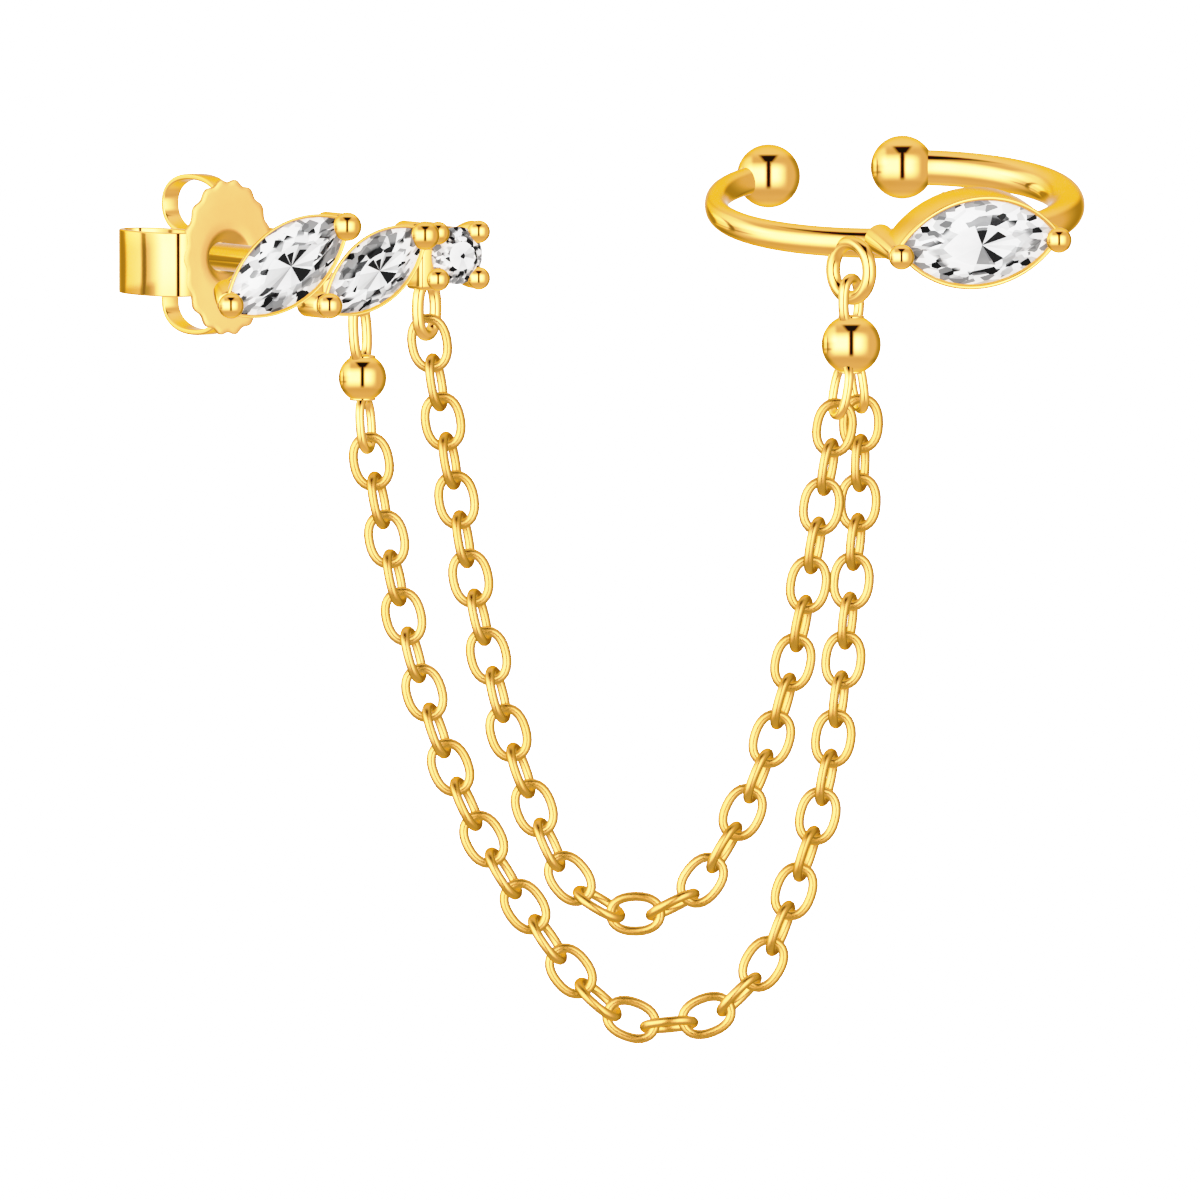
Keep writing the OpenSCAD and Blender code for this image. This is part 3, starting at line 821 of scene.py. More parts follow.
@dataclass
class Prong:
    """A wire with a ball on its end, and a groove under the ball."""

    wire: float
    ball: float
    swell: float = 1.0
    swell_run: float = 0.9
    neck: float = 0.8
    groove: float = 0.05
    steps: int = 14

    def build(self, form: Form, place: Matrix, foot: Vector, end: Vector) -> None:
        """Adds the prong to a form.

        Args:
            form: The form that gets it.
            place: The place that its foot and end are given in.
            foot: The middle of its foot.
            end: The middle of its ball.
        """
        wire, ball, length = self.wire, self.ball, (end - foot).length
        start = math.asin(min(self.neck * wire / ball, 0.98))
        under = length - ball * math.cos(start)
        profile = [(0, 0), (wire - self.groove, 0), (wire, self.groove)]
        profile += [(wire, under - 1.6 * self.groove)]
        profile += [(wire * (1 + self.neck) / 2, under - 0.5 * self.groove)]
        for i in range(self.steps + 1):
            a = start + (math.pi - start) * i / self.steps
            profile.append((max(ball * math.sin(a), 0), length - ball * math.cos(a)))
        wider = [max(0.0, min(1.0, (length - ball - h) / self.swell_run)) for _, h in profile]
        profile = [(r * (1 + (self.swell - 1) * k), h) for (r, h), k in zip(profile, wider)]
        form.lathe(profile, place @ along(foot, end))


@dataclass
class MarquiseSetting:
    """A ring round a pointed stone, on two prongs with ball ends and a rail behind."""

    place: Matrix
    length: float
    width: float
    pull: float = 0.0
    girdle: float = 1.2
    drop: float = 0.36
    rim: float = 0.1
    rim_depth: float = 0.1
    rim_over: float = 0.1
    stone_edge: float = 0.06
    prong_turn: float = -2.5
    prong_inset: float = 0.12
    prong: float = 0.41
    ball: float = 0.4
    high_ball: float = 0.45
    foot: float = 0.0
    ball_height: float = 1.42
    rail_w: float = 0.7
    rail_t: float = 0.3

    def build(self, form: Form) -> None:
        """Adds the setting to a form."""
        top = self.girdle + self.stone_edge + self.rim_over
        low = self.girdle - self.drop
        section = [
            (-self.rim_over, low),
            (self.rim, top - self.rim_depth),
            (self.rim, top),
            (STONE_GAP, top),
            (STONE_GAP, self.girdle - SEAT_HIGH),
            (-LEDGE, self.girdle - SEAT_LOW),
            (-LEDGE - 0.1, low),
        ]
        form.pointed_band(self.place, self.length, self.width, section, 0.025)
        reach = self.length / 2 - self.prong_inset
        turned = self.place @ turn(self.prong_turn, "Z")
        for side, pull, ball in ((-1, self.pull, self.ball), (1, 0.0, self.high_ball)):
            foot = Vector((side * reach * (1 - pull), 0, self.foot))
            end = Vector((side * reach, 0, self.ball_height))
            Prong(self.prong, ball).build(form, turned, foot, end)
        middle = reach * self.pull / 2
        size = (reach * (2 - self.pull), self.rail_w, self.rail_t)
        form.block(turned @ move(middle, 0, self.rail_t / 2), size, 0.06)


@dataclass
class RoundSetting:
    """A small open cup with four claws."""

    place: Matrix
    radius: float = 0.9
    cup_low: float = 0.3
    cup_high: float = 1.0
    cup_wall: float = 0.22
    claw: float = 0.25
    claw_ball: float = 0.36
    claw_out: float = 0.13
    claw_swell: tuple[float, ...] = (0.9, 1.0, 1.1, 1.2, 1.25, 1.25, 1.2, 1.1, 1.0)
    ball_height: float = 1.32

    def build(self, form: Form) -> None:
        """Adds the setting to a form."""
        inner = self.radius - self.cup_wall
        edge = 0.05
        profile = [
            (inner, self.cup_low),
            (self.radius - edge, self.cup_low),
            (self.radius, self.cup_low + edge),
            (self.radius, self.cup_high - edge),
            (self.radius - edge, self.cup_high),
            (inner + edge, self.cup_high),
            (inner, self.cup_high - edge),
            (inner, self.cup_low),
        ]
        form.lathe(profile, self.place, 48)
        for quarter in range(4):
            claw = self.place @ turn(45 + 90 * quarter, "Z")
            end = self.radius + self.claw_out
            points = self.bend(Vector((end - 0.3, 0, 0.1)), Vector((end + 0.16, 0, 0.75)), end)
            radii = [(self.claw * k, self.claw * k) for k in self.claw_swell]
            form.sweep(stations(claw, points, radii), 16)
            form.ball(claw @ move(end, 0, self.ball_height), self.claw_ball)

    def bend(self, low: Vector, middle: Vector, end: float) -> list[Vector]:
        """Works out the middle line of a claw.

        Args:
            low: Its foot.
            middle: The point that it bends towards.
            end: The distance of its ball from the stone's axis.

        Returns:
            Nine points from the foot to the ball.
        """
        high = Vector((end, 0, self.ball_height))
        shares = [i / 8 for i in range(9)]
        return [(1 - k) ** 2 * low + 2 * k * (1 - k) * middle + k * k * high for k in shares]


# Stud


# Painted reflections in the stud's stones: dark wedges and grey fans round the culet
STUD_WEDGES = (
    (0.0, 0.0), (0.25, 0.5), (0.325, 0.0), (0.555, 0.36), (0.635, 0.0), (0.68, 0.33),
    (0.735, 0.0), (0.745, 0.42), (0.795, 0.0),
)
STUD_FANS = (
    (0.0, 0.72), (0.05, 0.56), (0.105, 0.96), (0.2, 0.86), (0.256, 1.0), (0.344, 0.66),
    (0.4, 1.0), (0.5, 0.8), (0.56, 0.6), (0.66, 0.86), (0.8, 1.0), (0.87, 0.78),
)
ROUND_WEDGES = ((0.0, 0.07), (0.3, 0.11), (0.7, 0.06))
ROUND_FANS = ((0.0, 1.0), (0.2, 0.86), (0.32, 1.0), (0.46, 0.66), (0.54, 0.8), (0.62, 1.0))


@dataclass
class Stud:
    """The stud's soldered metal and its three stones."""

    large: Matrix = field(default_factory=lambda: STUD_FACE @ move(0.12, -0.10, 0) @ turn(32, "Z"))
    middle: Matrix = field(default_factory=lambda: STUD_FACE @ move(3.27, -0.33, 0) @ turn(34, "Z"))
    round: Matrix = field(default_factory=lambda: STUD_FACE @ move(6.23, 0.05, 0))
    large_size: Pair = (5.0, 2.35)
    middle_size: Pair = (4.25, 2.0)
    round_r: float = 0.9
    girdle: float = 1.2
    bar_blocks: tuple = (
        ((1.6, -0.35, 0.25), (0.6, 2.1, 0.5), 0.08),
        ((5.26, -0.33, 0.7), (0.62, 1.36, 1.0), 0.14),
    )
    eyelet: Triple = (2.94, 2.2, -1.25)
    eyelet_turn: float = -25.0
    eyelet_r: float = 0.53
    eyelet_wire: float = 0.1
    stem_foot: Triple = (3.5, -0.15, -0.3)
    stem_r: float = 0.14
    loop: Triple = (5.06, 2.25, -1.62)
    loop_turn: float = 57.0
    loop_half: Pair = (0.5, 0.82)
    loop_wire: float = 0.2
    post_r: float = 0.43
    post_len: float = 8.0
    groove_to_tip: float = 1.75
    groove_w: float = 0.55
    groove_depth: float = 0.07
    pad_r: float = 0.65
    pad_t: float = 0.3

    def build(self, gold: bpy.types.Material) -> None:
        """Makes the stud's pieces."""
        settings = Form()
        MarquiseSetting(self.large, *self.large_size, pull=0.3).build(settings)
        MarquiseSetting(self.middle, *self.middle_size).build(settings)
        RoundSetting(self.round, self.round_r).build(settings)
        self.bars(settings)
        self.hanging_loops(settings)
        settings.finish("stud_settings", gold, ("stud_frame",))
        post = Form()
        self.post(post)
        post.finish("ear_post", gold, ("stud_frame",))
        lift = move(0, 0, self.girdle)
        for name, place, size, seed in (
            ("large_stone", self.large, self.large_size, 0.3),
            ("middle_stone", self.middle, self.middle_size, 1.4),
        ):
            Stone(name, place @ lift, *size, StoneFinish(STUD_WEDGES, STUD_FANS, seed)).build()
        size = (2 * self.round_r, 2 * self.round_r)
        finish = StoneFinish(ROUND_WEDGES, ROUND_FANS, 2.2)
        Stone("round_stone", self.round @ lift, *size, finish, pointed=False).build()

    def bars(self, form: Form) -> None:
        """Adds the bars that join one setting to the next."""
        for place, size, edge in self.bar_blocks:
            form.block(STUD_FACE @ move(*place), size, edge)

    def hanging_loops(self, form: Form) -> None:
        """Adds the hidden eyelet on its stem, and the soldered loop of the inner chain."""
        eyelet = HANGING @ move(*self.eyelet) @ turn(self.eyelet_turn, "Z")
        form.wire_ring(eyelet, oval(self.eyelet_r, self.eyelet_r, 1, 40), self.eyelet_wire)
        crown = HANGING @ (Vector(self.eyelet) + Vector((0, 0, self.eyelet_r)))
        foot = Vector(self.stem_foot)
        length, r = (crown - foot).length, self.stem_r
        stem = [(0, 0), (r + 0.06, 0), (r + 0.02, 0.12), (r, length), (0, length)]
        form.lathe(stem, along(foot, crown), 20)
        place = HANGING @ move(*self.loop) @ turn(self.loop_turn, "Z")
        form.wire_ring(place, oval(*self.loop_half, 0.88, 40), self.loop_wire, 16)

    def post(self, form: Form) -> None:
        """Adds the ear post, with its pad, groove and round tip."""
        r = self.post_r
        groove = self.post_len - self.groove_to_tip
        half = self.groove_w / 2
        pad_r, pad_t = self.pad_r, self.pad_t
        profile = [(0, -pad_t), (pad_r - 0.06, -pad_t), (pad_r, -pad_t + 0.06), (pad_r, -0.05)]
        profile += [(pad_r - 0.05, 0), (r + 0.08, 0), (r + 0.02, 0.03), (r, 0.1)]
        for k in range(9):
            share = k / 4 - 1
            profile.append((r - self.groove_depth * (1 - share * share), groove + share * half))
        for k in range(13):
            a = math.pi / 2 * k / 12
            profile.append((max(r * math.cos(a), 0), self.post_len - r + r * math.sin(a)))
        form.lathe(profile, turn(-90, "X"), 40)


# Ear nut


@dataclass
class EarNut:
    """The push-on nut: a pressed disc with scalloped edge, and four arms curled from its sheet."""

    front: float = 2.2
    disc_w: float = 3.1
    disc_h: float = 4.8
    sheet: float = 0.18
    scallops: int = 18
    scallop: float = 0.05
    hole: float = 0.46
    dimple: float = 0.8
    dimple_depth: float = 0.45
    wide_arm: Triple = (2.0, 3.75, 1.85)
    wide_drop: float = 0.2
    wide_start: float = -98.0
    narrow_start: float = -58.0
    curl_end: float = 254.0
    curl_steps: int = 44
    curl_power: float = 0.9
    tuck: float = 0.02
    edge: float = 0.045
    narrow_arm: Triple = (0.55, 3.85, 2.0)
    arm_gap: float = 0.05
    narrow_out: float = 0.12

    def build(self, satin: bpy.types.Material, gold: bpy.types.Material) -> None:
        """Makes the nut's disc and its arms."""
        place = move(0, self.front, 0) @ turn(-90, "X")
        disc = Form()
        self.disc(disc, place)
        disc.finish("nut_disc", satin, ("ear_nut",), body=Body.EAR_NUT)
        arms = Form()
        _, depth, across = self.wide_arm
        out, back = self.hole + self.arm_gap + across / 2, depth / 2 + self.tuck
        for side in (-1, 1):
            shift = place @ move(side * out, self.wide_drop, back)
            self.arm(arms, shift, self.wide_arm, side, self.wide_start)
        _, depth, across = self.narrow_arm
        out, back = self.disc_h / 2 - across / 2 + self.narrow_out, depth / 2 + self.tuck
        for side in (-1, 1):
            shift = place @ move(0, side * out, back) @ turn(90, "Z")
            self.arm(arms, shift, self.narrow_arm, side, self.narrow_start)
        arms.finish("nut_arms", gold, ("ear_nut",), body=Body.EAR_NUT)

    def arm(self, form: Form, place: Matrix, sizes: Triple, side: int, start: float) -> None:
        """Adds one arm: a strip of sheet that curls from the disc round the back to the post.

        Args:
            form: The form that gets it.
            place: The place of the curl's middle.
            sizes: The strip's width, how far it reaches behind the disc, and the curl's width.
            side: 1 or -1, the side of the nut that it is on.
            start: The angle round the curl at which the sheet leaves the disc.
        """
        width, depth, across = sizes
        halves = ((across - self.sheet) / 2, (depth - self.sheet) / 2)
        path = []
        for i in range(self.curl_steps + 1):
            a = math.radians(start + (self.curl_end - start) * i / self.curl_steps)
            x, z = oval_point(*halves, self.curl_power, a)
            path.append(Vector((side * x, 0, z)))
        rings = stations(place, path, [(1.0, 1.0)] * len(path))
        form.strip(rings, width, self.sheet, self.edge)

    def disc(self, form: Form, place: Matrix) -> None:
        """Adds the disc as a closed row of rings: its front, dimple and hole, then its back.

        Args:
            form: The form that gets it.
            place: The place of its front, with Z to the back.
        """
        wide, high, sheet, wave = self.disc_w / 2, self.disc_h / 2, self.sheet, self.scallop
        dimple, hole, depth = self.dimple, self.hole, self.dimple_depth
        # Each ring's half width, half height, depth and wave
        rings = [
            (wide, high, 0.05, wave),
            (wide - 0.015, high - 0.015, 0.015, wave),
            (wide - 0.05, high - 0.05, 0, wave),
            (wide - 0.16, high - 0.18, 0, wave * 0.6),
            (dimple + 0.25, dimple + 0.45, 0, 0),
            (dimple + 0.03, dimple + 0.13, 0, 0),
            (dimple - 0.03, dimple + 0.06, 0.015, 0),
            (dimple - 0.09, dimple - 0.02, 0.06, 0),
            (hole + 0.1, hole + 0.12, depth - 0.09, 0),
            (hole + 0.06, hole + 0.06, depth - 0.03, 0),
            (hole + 0.015, hole + 0.015, depth, 0),
            (hole, hole, depth + 0.02, 0),
            (hole, hole, depth + 0.15, 0),
            (hole + 0.015, hole + 0.015, depth + sheet, 0),
            (hole + 0.2, hole + 0.22, depth + sheet - 0.08, 0),
            (dimple + 0.06, dimple + 0.14, sheet + 0.06, 0),
            (dimple + 0.14, dimple + 0.24, sheet, 0),
            (wide - 0.05, high - 0.05, sheet, wave),
            (wide - 0.015, high - 0.015, sheet - 0.015, wave),
            (wide, high, sheet - 0.05, wave),
        ]
        loops = []
        for half_w, half_h, back, swing in rings:
            verts = bmesh.ops.create_circle(form.bm, segments=10 * self.scallops, radius=1)["verts"]
            for vert in verts:
                a = math.atan2(vert.co.y, vert.co.x)
                swell = swing * math.cos(self.scallops * a)
                vert.co = ((half_w + swell) * math.cos(a), (half_h + swell) * math.sin(a), back)
            loops.append(edges_of(verts))
        for one, next_one in zip(loops, loops[1:] + loops[:1]):
            bmesh.ops.bridge_loops(form.bm, edges=one + next_one)
        bmesh.ops.transform(form.bm, matrix=place, verts=form.bm.verts)


# Ear cuff


# Painted reflections in the cuff's stone: dark wedges and grey fans round the culet
CUFF_WEDGES = (
    (0.0, 0.0), (0.3, 0.5), (0.352, 0.0), (0.57, 0.4), (0.655, 0.0), (0.715, 0.36), (0.78, 0.0),
)
CUFF_FANS = (
    (0.0, 1.0), (0.1, 0.94), (0.219, 0.4), (0.286, 0.3), (0.306, 1.0), (0.42, 0.86),
    (0.47, 1.0), (0.53, 0.84), (0.58, 1.0), (0.66, 0.9), (0.722, 0.4), (0.778, 1.0),
)


@dataclass
class EarCuff:
    """The open ring of tapered wire with its marquise setting and hanging ring."""

    width: float = 11.0
    depth: float = 8.6
    wire: float = 0.54
    ball: float = 1.0
    shift: float = 0.1
    power: float = 0.9
    start: float = 138.0
    end: float = 444.0
    ball_turns: Pair = (132.0, 447.0)
    taper: tuple[Triple, ...] = (
        (0.00, 0.76, 0.80), (0.15, 0.66, 0.80), (0.35, 0.80, 0.86),
        (0.60, 0.98, 0.98), (0.80, 1.08, 1.02), (1.00, 0.98, 1.04),
    )
    steps: int = 96
    hanging: Triple = (18.3, 1.42, -0.38)
    hanging_turn: float = -49.0
    hanging_r: float = 0.855
    hanging_wire: float = 0.23
    stone: Pair = (5.1, 2.7)
    girdle: float = 1.6
    wall: float = 1.15
    rim: float = 0.15
    prong: float = 0.3
    prong_ball: float = 0.4
    prong_out: float = 0.04
    prong_drop: float = 0.16
    prong_back: float = 0.4
    prong_turn: float = 0.9
    left_prong: float = 0.48
    ball_rise: float = 0.2

    def at(self, degrees: float) -> Vector:
        """Returns the middle of the wire at an angle, from the right round the back."""
        a = math.radians(degrees)
        x, y = oval_point(self.width / 2, self.depth / 2, self.power, a)
        return Vector((x, y - self.depth / 2 * self.shift, 0))

    def thickness(self, run: float) -> Pair:
        """Returns the wire's half width and half height at a share of its run."""
        row = next(i for i, (place, _, _) in enumerate(self.taper[1:]) if run <= place)
        (a, wide_a, high_a), (b, wide_b, high_b) = self.taper[row : row + 2]
        k = (run - a) / (b - a)
        k = k * k * (3 - 2 * k)
        wide, high = wide_a + k * (wide_b - wide_a), high_a + k * (high_b - high_a)
        return self.wire * wide, self.wire * high

    def build(self, gold: bpy.types.Material) -> None:
        """Makes the cuff's pieces."""
        ring = Form()
        shares = [i / self.steps for i in range(self.steps + 1)]
        points = [self.at(self.start + (self.end - self.start) * k) for k in shares]
        radii = [self.thickness(k) for k in shares]
        ring.sweep(stations(CUFF, points, radii, (0, 0, 1)), 28)
        for degrees in self.ball_turns:
            ring.ball(CUFF @ Matrix.Translation(self.at(degrees)), self.ball, 48)
        hanging = HANGING @ move(*self.hanging) @ turn(self.hanging_turn, "Z")
        ring.wire_ring(hanging, oval(self.hanging_r, self.hanging_r, 1, 48), self.hanging_wire, 20)
        ring.finish("cuff_ring", gold, ("ear_cuff",))
        setting = Form()
        self.setting(setting)
        setting.finish("cuff_setting", gold, ("ear_cuff",))
        place = CUFF_FRONT @ move(0, 0, self.girdle)
        finish = StoneFinish(CUFF_WEDGES, CUFF_FANS, 3.1)
        Stone("cuff_stone", place, *self.stone, finish, crown=0.32, pavilion=0.78).build()

    def setting(self, form: Form) -> None:
        """Adds the cuff's setting: its wall, rim, bridge and prongs, the left one's foot wide."""
        length, width = self.stone
        low = self.girdle - self.wall
        top = self.girdle + 0.16
        out, step = self.rim - 0.03, top - 0.14
        wall = [(out, low), (out, step), (STONE_GAP, step), (STONE_GAP, self.girdle - SEAT_HIGH)]
        wall += [(-LEDGE, self.girdle - SEAT_LOW), (-LEDGE, low)]
        form.pointed_band(CUFF_FRONT, length, width, wall, 0.03)
        under = top - 0.17
        rim = [(self.rim, under), (self.rim, top), (STONE_GAP, top), (STONE_GAP, under)]
        form.pointed_band(CUFF_FRONT, length, width, rim, 0.045)
        form.block(CUFF_FRONT @ move(0, 0, low), (1.6, width, 0.3), 0.06)
        turned = CUFF_FRONT @ move(0, -self.prong_drop, 0) @ turn(self.prong_turn, "Z")
        reach = length / 2 + self.prong_out
        for side, swell in ((-1, self.left_prong / self.prong), (1, 1.0)):
            foot = Vector((side * reach, 0, -self.prong_back))
            end = Vector((side * reach, 0, self.girdle + self.ball_rise))
            Prong(self.prong, self.prong_ball, swell).build(form, turned, foot, end)


# Beads and chains


@dataclass
class Bead:
    """A round bead with loops soldered to its top and bottom."""

    name: str
    place: Matrix
    diameter: float
    loops: tuple[tuple[float, float, float, float, float], ...]
    top_length: float
    top_wire: float = 0.34
    low_length: float = 1.9
    low_wire: float = 0.3
    width: float = 1.3
    collar: float = 0.36
    collar_wire: float = 0.05

    def build(self, gold: bpy.types.Material) -> None:
        """Makes the bead with its loops, each of them a row of turn, lean, drop and two shifts."""
        form = Form()
        form.ball(self.place, self.diameter / 2, 56)
        height = math.sqrt((self.diameter / 2) ** 2 - self.collar**2)
        for side in (-1, 1):
            ring = self.place @ move(0, 0, side * height) @ turn(90, "X")
            form.wire_ring(ring, oval(self.collar, self.collar, 1, 32), self.collar_wire, 10)
        length, wire = self.top_length, self.top_wire
        for turned, lean, drop, right, away in self.loops:
            place = self.place @ move(right, away, 0) @ turn(lean, "Y")
            place = place @ move(0, 0, drop) @ turn(turned, "Z")
            points = oval((self.width - wire) / 2, (length - wire) / 2, 0.86, 36)
            form.wire_ring(place, points, wire / 2)
            length, wire = self.low_length, self.low_wire
        form.finish(self.name, gold, (self.name,))


@dataclass
class Chain:
    """A cable chain of oval links along a route in the hanging plane."""

    name: str
    route: tuple[Triple, ...]
    pitch: float = 1.235
    wire: float = 0.305
    width: float = 1.4
    play: float = 0.02
    side_turn: float = 17.0
    steps: int = 6

    def smooth(self) -> list[Vector]:
        """Returns points on a smooth curve through the route's points."""
        rows = [Vector(p) for p in self.route]
        last = len(rows) - 1
        made = []
        for i in range(last):
            a, b = rows[max(i - 1, 0)], rows[i]
            c, d = rows[i + 1], rows[min(i + 2, last)]
            for j in range(self.steps):
                k = j / self.steps
                bend = (2 * a - 5 * b + 4 * c - d) + k * (3 * (b - c) + d - a)
                made.append(b + 0.5 * k * ((c - a) + k * bend))
        return made + [rows[last]]

    def spaced(self) -> list[Vector]:
        """Returns the points where the links meet, at equal steps along the curve."""
        points = self.smooth()
        runs = [0.0]
        for a, b in zip(points, points[1:]):
            runs.append(runs[-1] + (b - a).length)
        count = 2 * round((runs[-1] / self.pitch - 1) / 2) + 1
        made, k = [], 0
        for i in range(count + 1):
            s = runs[-1] * i / count
            while k < len(points) - 2 and runs[k + 1] < s:
                k += 1
            share = (s - runs[k]) / (runs[k + 1] - runs[k])
            made.append(points[k].lerp(points[k + 1], share))
        return made

    def build(self, gold: bpy.types.Material) -> None:
        """Makes the chain."""
        meets = self.spaced()
        step = sum((b - a).length for a, b in zip(meets, meets[1:])) / (len(meets) - 1)
        places = []
        for i, (p, q) in enumerate(zip(meets, meets[1:])):
            down = (q - p).normalized() * (1 if q.z < p.z else -1)
            swing = math.degrees(math.atan2(-down.y, -down.x))
            tilt = math.degrees(math.acos(-down.z))
            side_on = 0 if i % 2 == 0 else 90 - self.side_turn
            places.append(
                HANGING
                @ Matrix.Translation((p + q) / 2)
                @ turn(swing, "Z")
                @ turn(tilt, "Y")
                @ turn(-swing + side_on, "Z")
            )
        link = Form()
        length = step + 2 * self.wire + self.play
        points = oval((self.width - self.wire) / 2, (length - self.wire) / 2, 0.88, 28)
        link.wire_ring(Matrix.Identity(4), points, self.wire / 2, 12)
        form = Form()
        form.copies(link, places)
        form.finish(self.name, gold, (self.name,))


# Studio


@dataclass(frozen=True)
class Patch:
    """A soft-edged patch of the light.

    Its places are in a mirror ball's picture of the room, from -1 to 1 across and up: where the
    patch starts, where it is full, how far it stays full and where it ends.
    """

    across: Span
    up: Span
    amount: float

    def light(self, graph: Graph, x: Value, y: Value) -> Value:
        """Returns how much the patch gives at a place."""
        return graph.span(x, self.across) * graph.span(y, self.up) * self.amount


ALL = (-3, -2, 2, 3)
BOX_UP = (-0.46, -0.04, 0.14, 0.46)
LEVEL = (-0.35, -0.15, 0.15, 0.35)
# What is added to the room: the sky, the floor and the belt above it, the two boxes, a panel, a glow
BRIGHT = (
    Patch(ALL, (0.52, 0.74, 2, 3), 0.4),
    Patch(ALL, (-3, -2, -0.92, -0.75), 0.3),
    Patch(ALL, (-0.7, -0.52, -0.5, -0.4), -0.08),
    Patch((-0.8, -0.5, -0.16, -0.03), BOX_UP, 3.8),
    Patch((0.03, 0.16, 0.2, 0.64), BOX_UP, 3.8),
    Patch((-0.93, -0.9, -0.835, -0.81), LEVEL, 1.2),
    Patch((-0.95, -0.86, -0.6, -0.45), (0.02, 0.14, 0.5, 0.7), 0.9),
)
# What is taken away, 1 for all of it: the gap between the boxes, a seam and a line
DARK = (
    Patch((-0.1, -0.02, 0.02, 0.1), (-0.46, -0.3, 0.48, 0.54), 1.0),
    Patch((-0.82, -0.8, -0.785, -0.765), LEVEL, 0.7),
    Patch((-0.95, -0.9, -0.7, -0.6), (-0.22, -0.18, -0.14, -0.1), 0.5),
)
# Amounts of light, and how bright the picture shows them
TONES = (
    (0.05, 0.02), (0.1, 0.09), (0.18, 0.21), (0.32, 0.35), (0.5, 0.53), (0.9, 0.81), (1.5, 0.94),
)


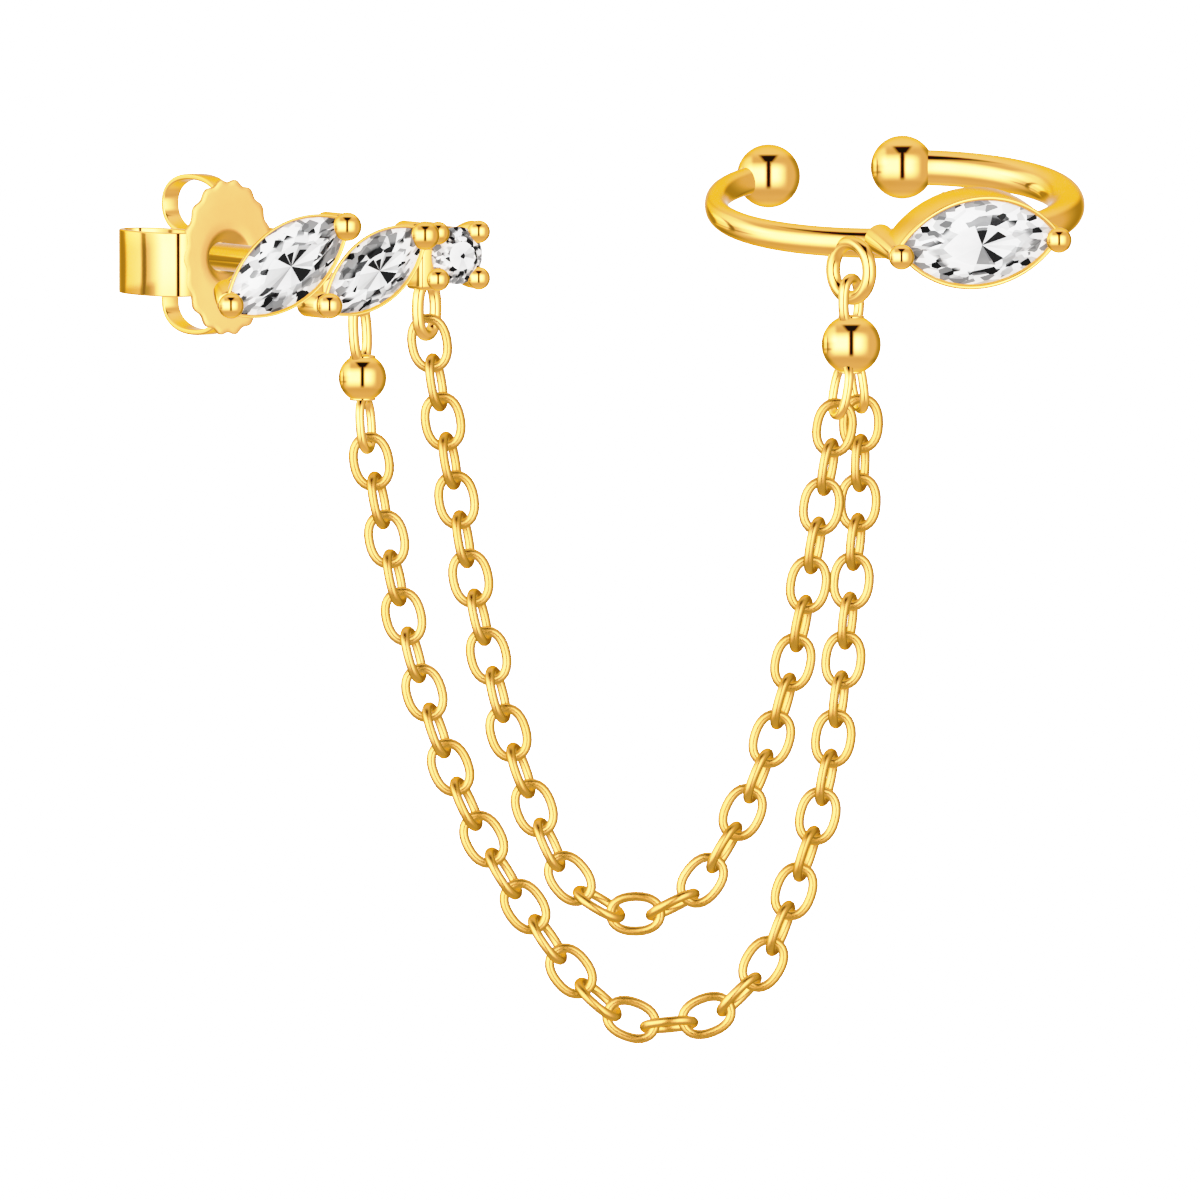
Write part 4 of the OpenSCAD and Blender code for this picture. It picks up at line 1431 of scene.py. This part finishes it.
@dataclass
class Studio:
    """The floor, the soft light round the earring and the camera."""

    pixels_per_mm: float = 32.0
    image: float = 1200.0
    azimuth: float = -30.0
    elevation: float = 4.0
    lens: float = 800.0
    sensor: float = 36.0
    centre: Pair = (10.47, -10.55)
    depth: float = 3.0
    floor_drop: float = 60.0
    backdrop: float = 3.0
    room: float = 0.82
    edge_loss: float = 0.42
    darkness: float = 0.96
    behind: float = 0.8

    def back(self) -> Vector:
        """Returns the direction from the earring to the camera."""
        a, e = math.radians(self.azimuth), math.radians(self.elevation)
        return Vector((math.sin(a) * math.cos(e), -math.cos(a) * math.cos(e), math.sin(e)))

    def build(self) -> None:
        """Makes the camera, the floor and the light."""
        self.camera()
        self.floor()
        self.light()
        self.film()

    def camera(self) -> None:
        """Makes the camera at the photograph's angle, with a long lens."""
        e = math.radians(self.elevation)
        right, high = self.centre
        high = (high - self.depth * math.sin(e)) / math.cos(e)
        target = HANGING @ Vector((right, self.depth, high))
        distance = self.image / self.pixels_per_mm * self.lens / self.sensor
        data = bpy.data.cameras.new("camera")
        data.lens = self.lens
        data.sensor_width = self.sensor
        data.clip_start = 0.01
        data.clip_end = 100
        camera = bpy.data.objects.new("camera", data)
        camera.location = (target + self.back() * distance) * MM
        camera.rotation_mode = "QUATERNION"
        camera.rotation_quaternion = (-self.back()).to_track_quat("-Z", "Y")
        bpy.context.scene.collection.objects.link(camera)
        bpy.context.scene.camera = camera

    def floor(self) -> None:
        """Makes the plain pale floor."""
        form = bmesh.new()
        bmesh.ops.create_grid(form, x_segments=1, y_segments=1, size=8)
        low = CAD_BOX[0].z - self.floor_drop * MM
        bmesh.ops.translate(form, vec=(0, 0, low), verts=form.verts)
        mesh = bpy.data.meshes.new("floor")
        form.to_mesh(mesh)
        form.free()
        made, graph = new_material("pale_floor")
        place = graph.node("ShaderNodeTexCoord").outputs["Object"]
        colour = graph.mix(graph.noise(place, 3.0), (0.93, 0.93, 0.93, 1), (0.96, 0.96, 0.96, 1))
        inputs = {"Base Color": colour, "Roughness": 0.9, "Emission Color": (1, 1, 1, 1)}
        inputs["Emission Strength"] = self.backdrop
        graph.surface("ShaderNodeBsdfPrincipled", inputs)
        mesh.materials.append(made)
        piece = bpy.data.objects.new("floor", mesh)
        piece.visible_glossy = piece.visible_transmission = piece.visible_diffuse = False
        bpy.context.scene.collection.objects.link(piece)

    def light(self) -> None:
        """Makes the light: two soft boxes with a dark gap between them, in a pale room."""
        world = bpy.data.worlds.new("studio")
        bpy.context.scene.world = world
        world.use_nodes = True
        graph = Graph(world.node_tree)
        way = graph.node("ShaderNodeTexCoord").outputs["Generated"]
        azimuth = math.radians(self.azimuth)
        right = Vector((math.cos(azimuth), math.sin(azimuth), 0))
        dots = []
        for axis in (right, self.back().cross(right), self.back()):
            made = graph.node("ShaderNodeVectorMath", {0: way, 1: axis}, operation="DOT_PRODUCT")
            dots.append(Value(graph, made.outputs["Value"]))
        across, height, near = dots
        spread = (near * 2 + 2.0001).math("SQRT")
        x, y = across / spread, height / spread
        edge = graph.band((x * x + y * y).math("SQRT"), 0.8, 0.94)
        strength = self.room - self.edge_loss * edge * graph.span(y, (-0.8, -0.5, 0.5, 0.8))
        for patch in BRIGHT:
            strength = strength + patch.light(graph, x, y)
        lid = 1 - graph.band(x.math("ABSOLUTE") - y * 0.8, -0.3, -0.14)
        dark = lid * graph.span(y, (0.36, 0.48, 0.6, 0.7))
        for patch in DARK:
            dark = dark.math("MAXIMUM", patch.light(graph, x, y))
        strength = strength * (1 - dark * self.darkness)
        behind = graph.band(near * -1, 0.84, 0.97)
        strength = strength * (1 - behind) + behind * self.behind
        seen = Value(graph, graph.node("ShaderNodeLightPath").outputs["Is Camera Ray"])
        strength = strength * (1 - seen) + seen * self.backdrop
        inputs = {"Color": (1, 1, 1, 1), "Strength": strength}
        graph.surface("ShaderNodeBackground", inputs, "ShaderNodeOutputWorld")

    def film(self) -> None:
        """Sets the picture's tones: a firm toe and a soft shoulder, in each colour by itself."""
        settings = bpy.context.scene.view_settings
        settings.view_transform = "Standard"
        settings.use_curve_mapping = True
        mapping = settings.curve_mapping
        mapping.white_level = (self.backdrop,) * 3
        mapping.extend = "HORIZONTAL"
        for light, shown in TONES:
            mapping.curves[3].points.new(light / self.backdrop, shown)
        mapping.update()


OUTER_ROUTE = (
    (3.22, 2.20, -5.79), (3.84, 2.12, -8.97), (4.38, 2.02, -11.41), (5.09, 1.92, -13.97),
    (6.00, 1.82, -16.44), (7.12, 1.72, -18.71), (8.53, 1.63, -20.87), (10.08, 1.55, -22.92),
    (11.86, 1.48, -24.02), (14.23, 1.45, -23.55), (15.65, 1.46, -21.98), (16.48, 1.50, -19.92),
    (17.27, 1.55, -17.48), (17.76, 1.60, -15.01), (18.07, 1.65, -12.50), (18.33, 1.70, -10.01),
    (18.55, 1.74, -7.61), (18.62, 1.77, -4.56),
)
INNER_ROUTE = (
    (5.05, 2.25, -2.09), (5.56, 2.24, -5.09), (5.97, 2.20, -7.44), (6.39, 2.12, -9.85),
    (6.92, 2.04, -12.16), (7.54, 1.95, -14.66), (8.31, 1.85, -16.91), (9.22, 1.75, -19.05),
    (10.79, 1.62, -20.48), (12.87, 1.50, -20.25), (14.22, 1.42, -18.66), (15.37, 1.33, -16.31),
    (16.23, 1.25, -13.70), (16.84, 1.18, -10.88), (17.32, 1.12, -8.02), (17.88, 1.12, -4.66),
)


def main() -> None:
    """Builds the studio and every piece of the earring."""
    logging.basicConfig(level=logging.INFO)
    Studio().build()
    gold = POLISHED_GOLD.material()
    satin = SATIN_GOLD.material()
    Stud().build(gold)
    EarNut().build(satin, gold)
    EarCuff().build(gold)
    left_loops = ((65, -3, 1.44, 0, 0), (70, -4, -1.45, 0, 0))
    right_loops = ((59, 0, 1.33, 0, 0), (114, 10, -1.43, -0.08, -0.3), (110, -8, -1.27, 0.03, 0.35))
    links = CHAIN_GOLD.material()
    Bead("left_bead", HANGING @ move(3.06, 2.2, -3.78), 1.5, left_loops, 2.2).build(gold)
    Bead("right_bead", HANGING @ move(18.3, 1.42, -2.69), 1.86, right_loops, 1.8).build(gold)
    Chain("outer_chain", OUTER_ROUTE).build(links)
    Chain("inner_chain", INNER_ROUTE).build(links)


if __name__ == "__main__":
    main()
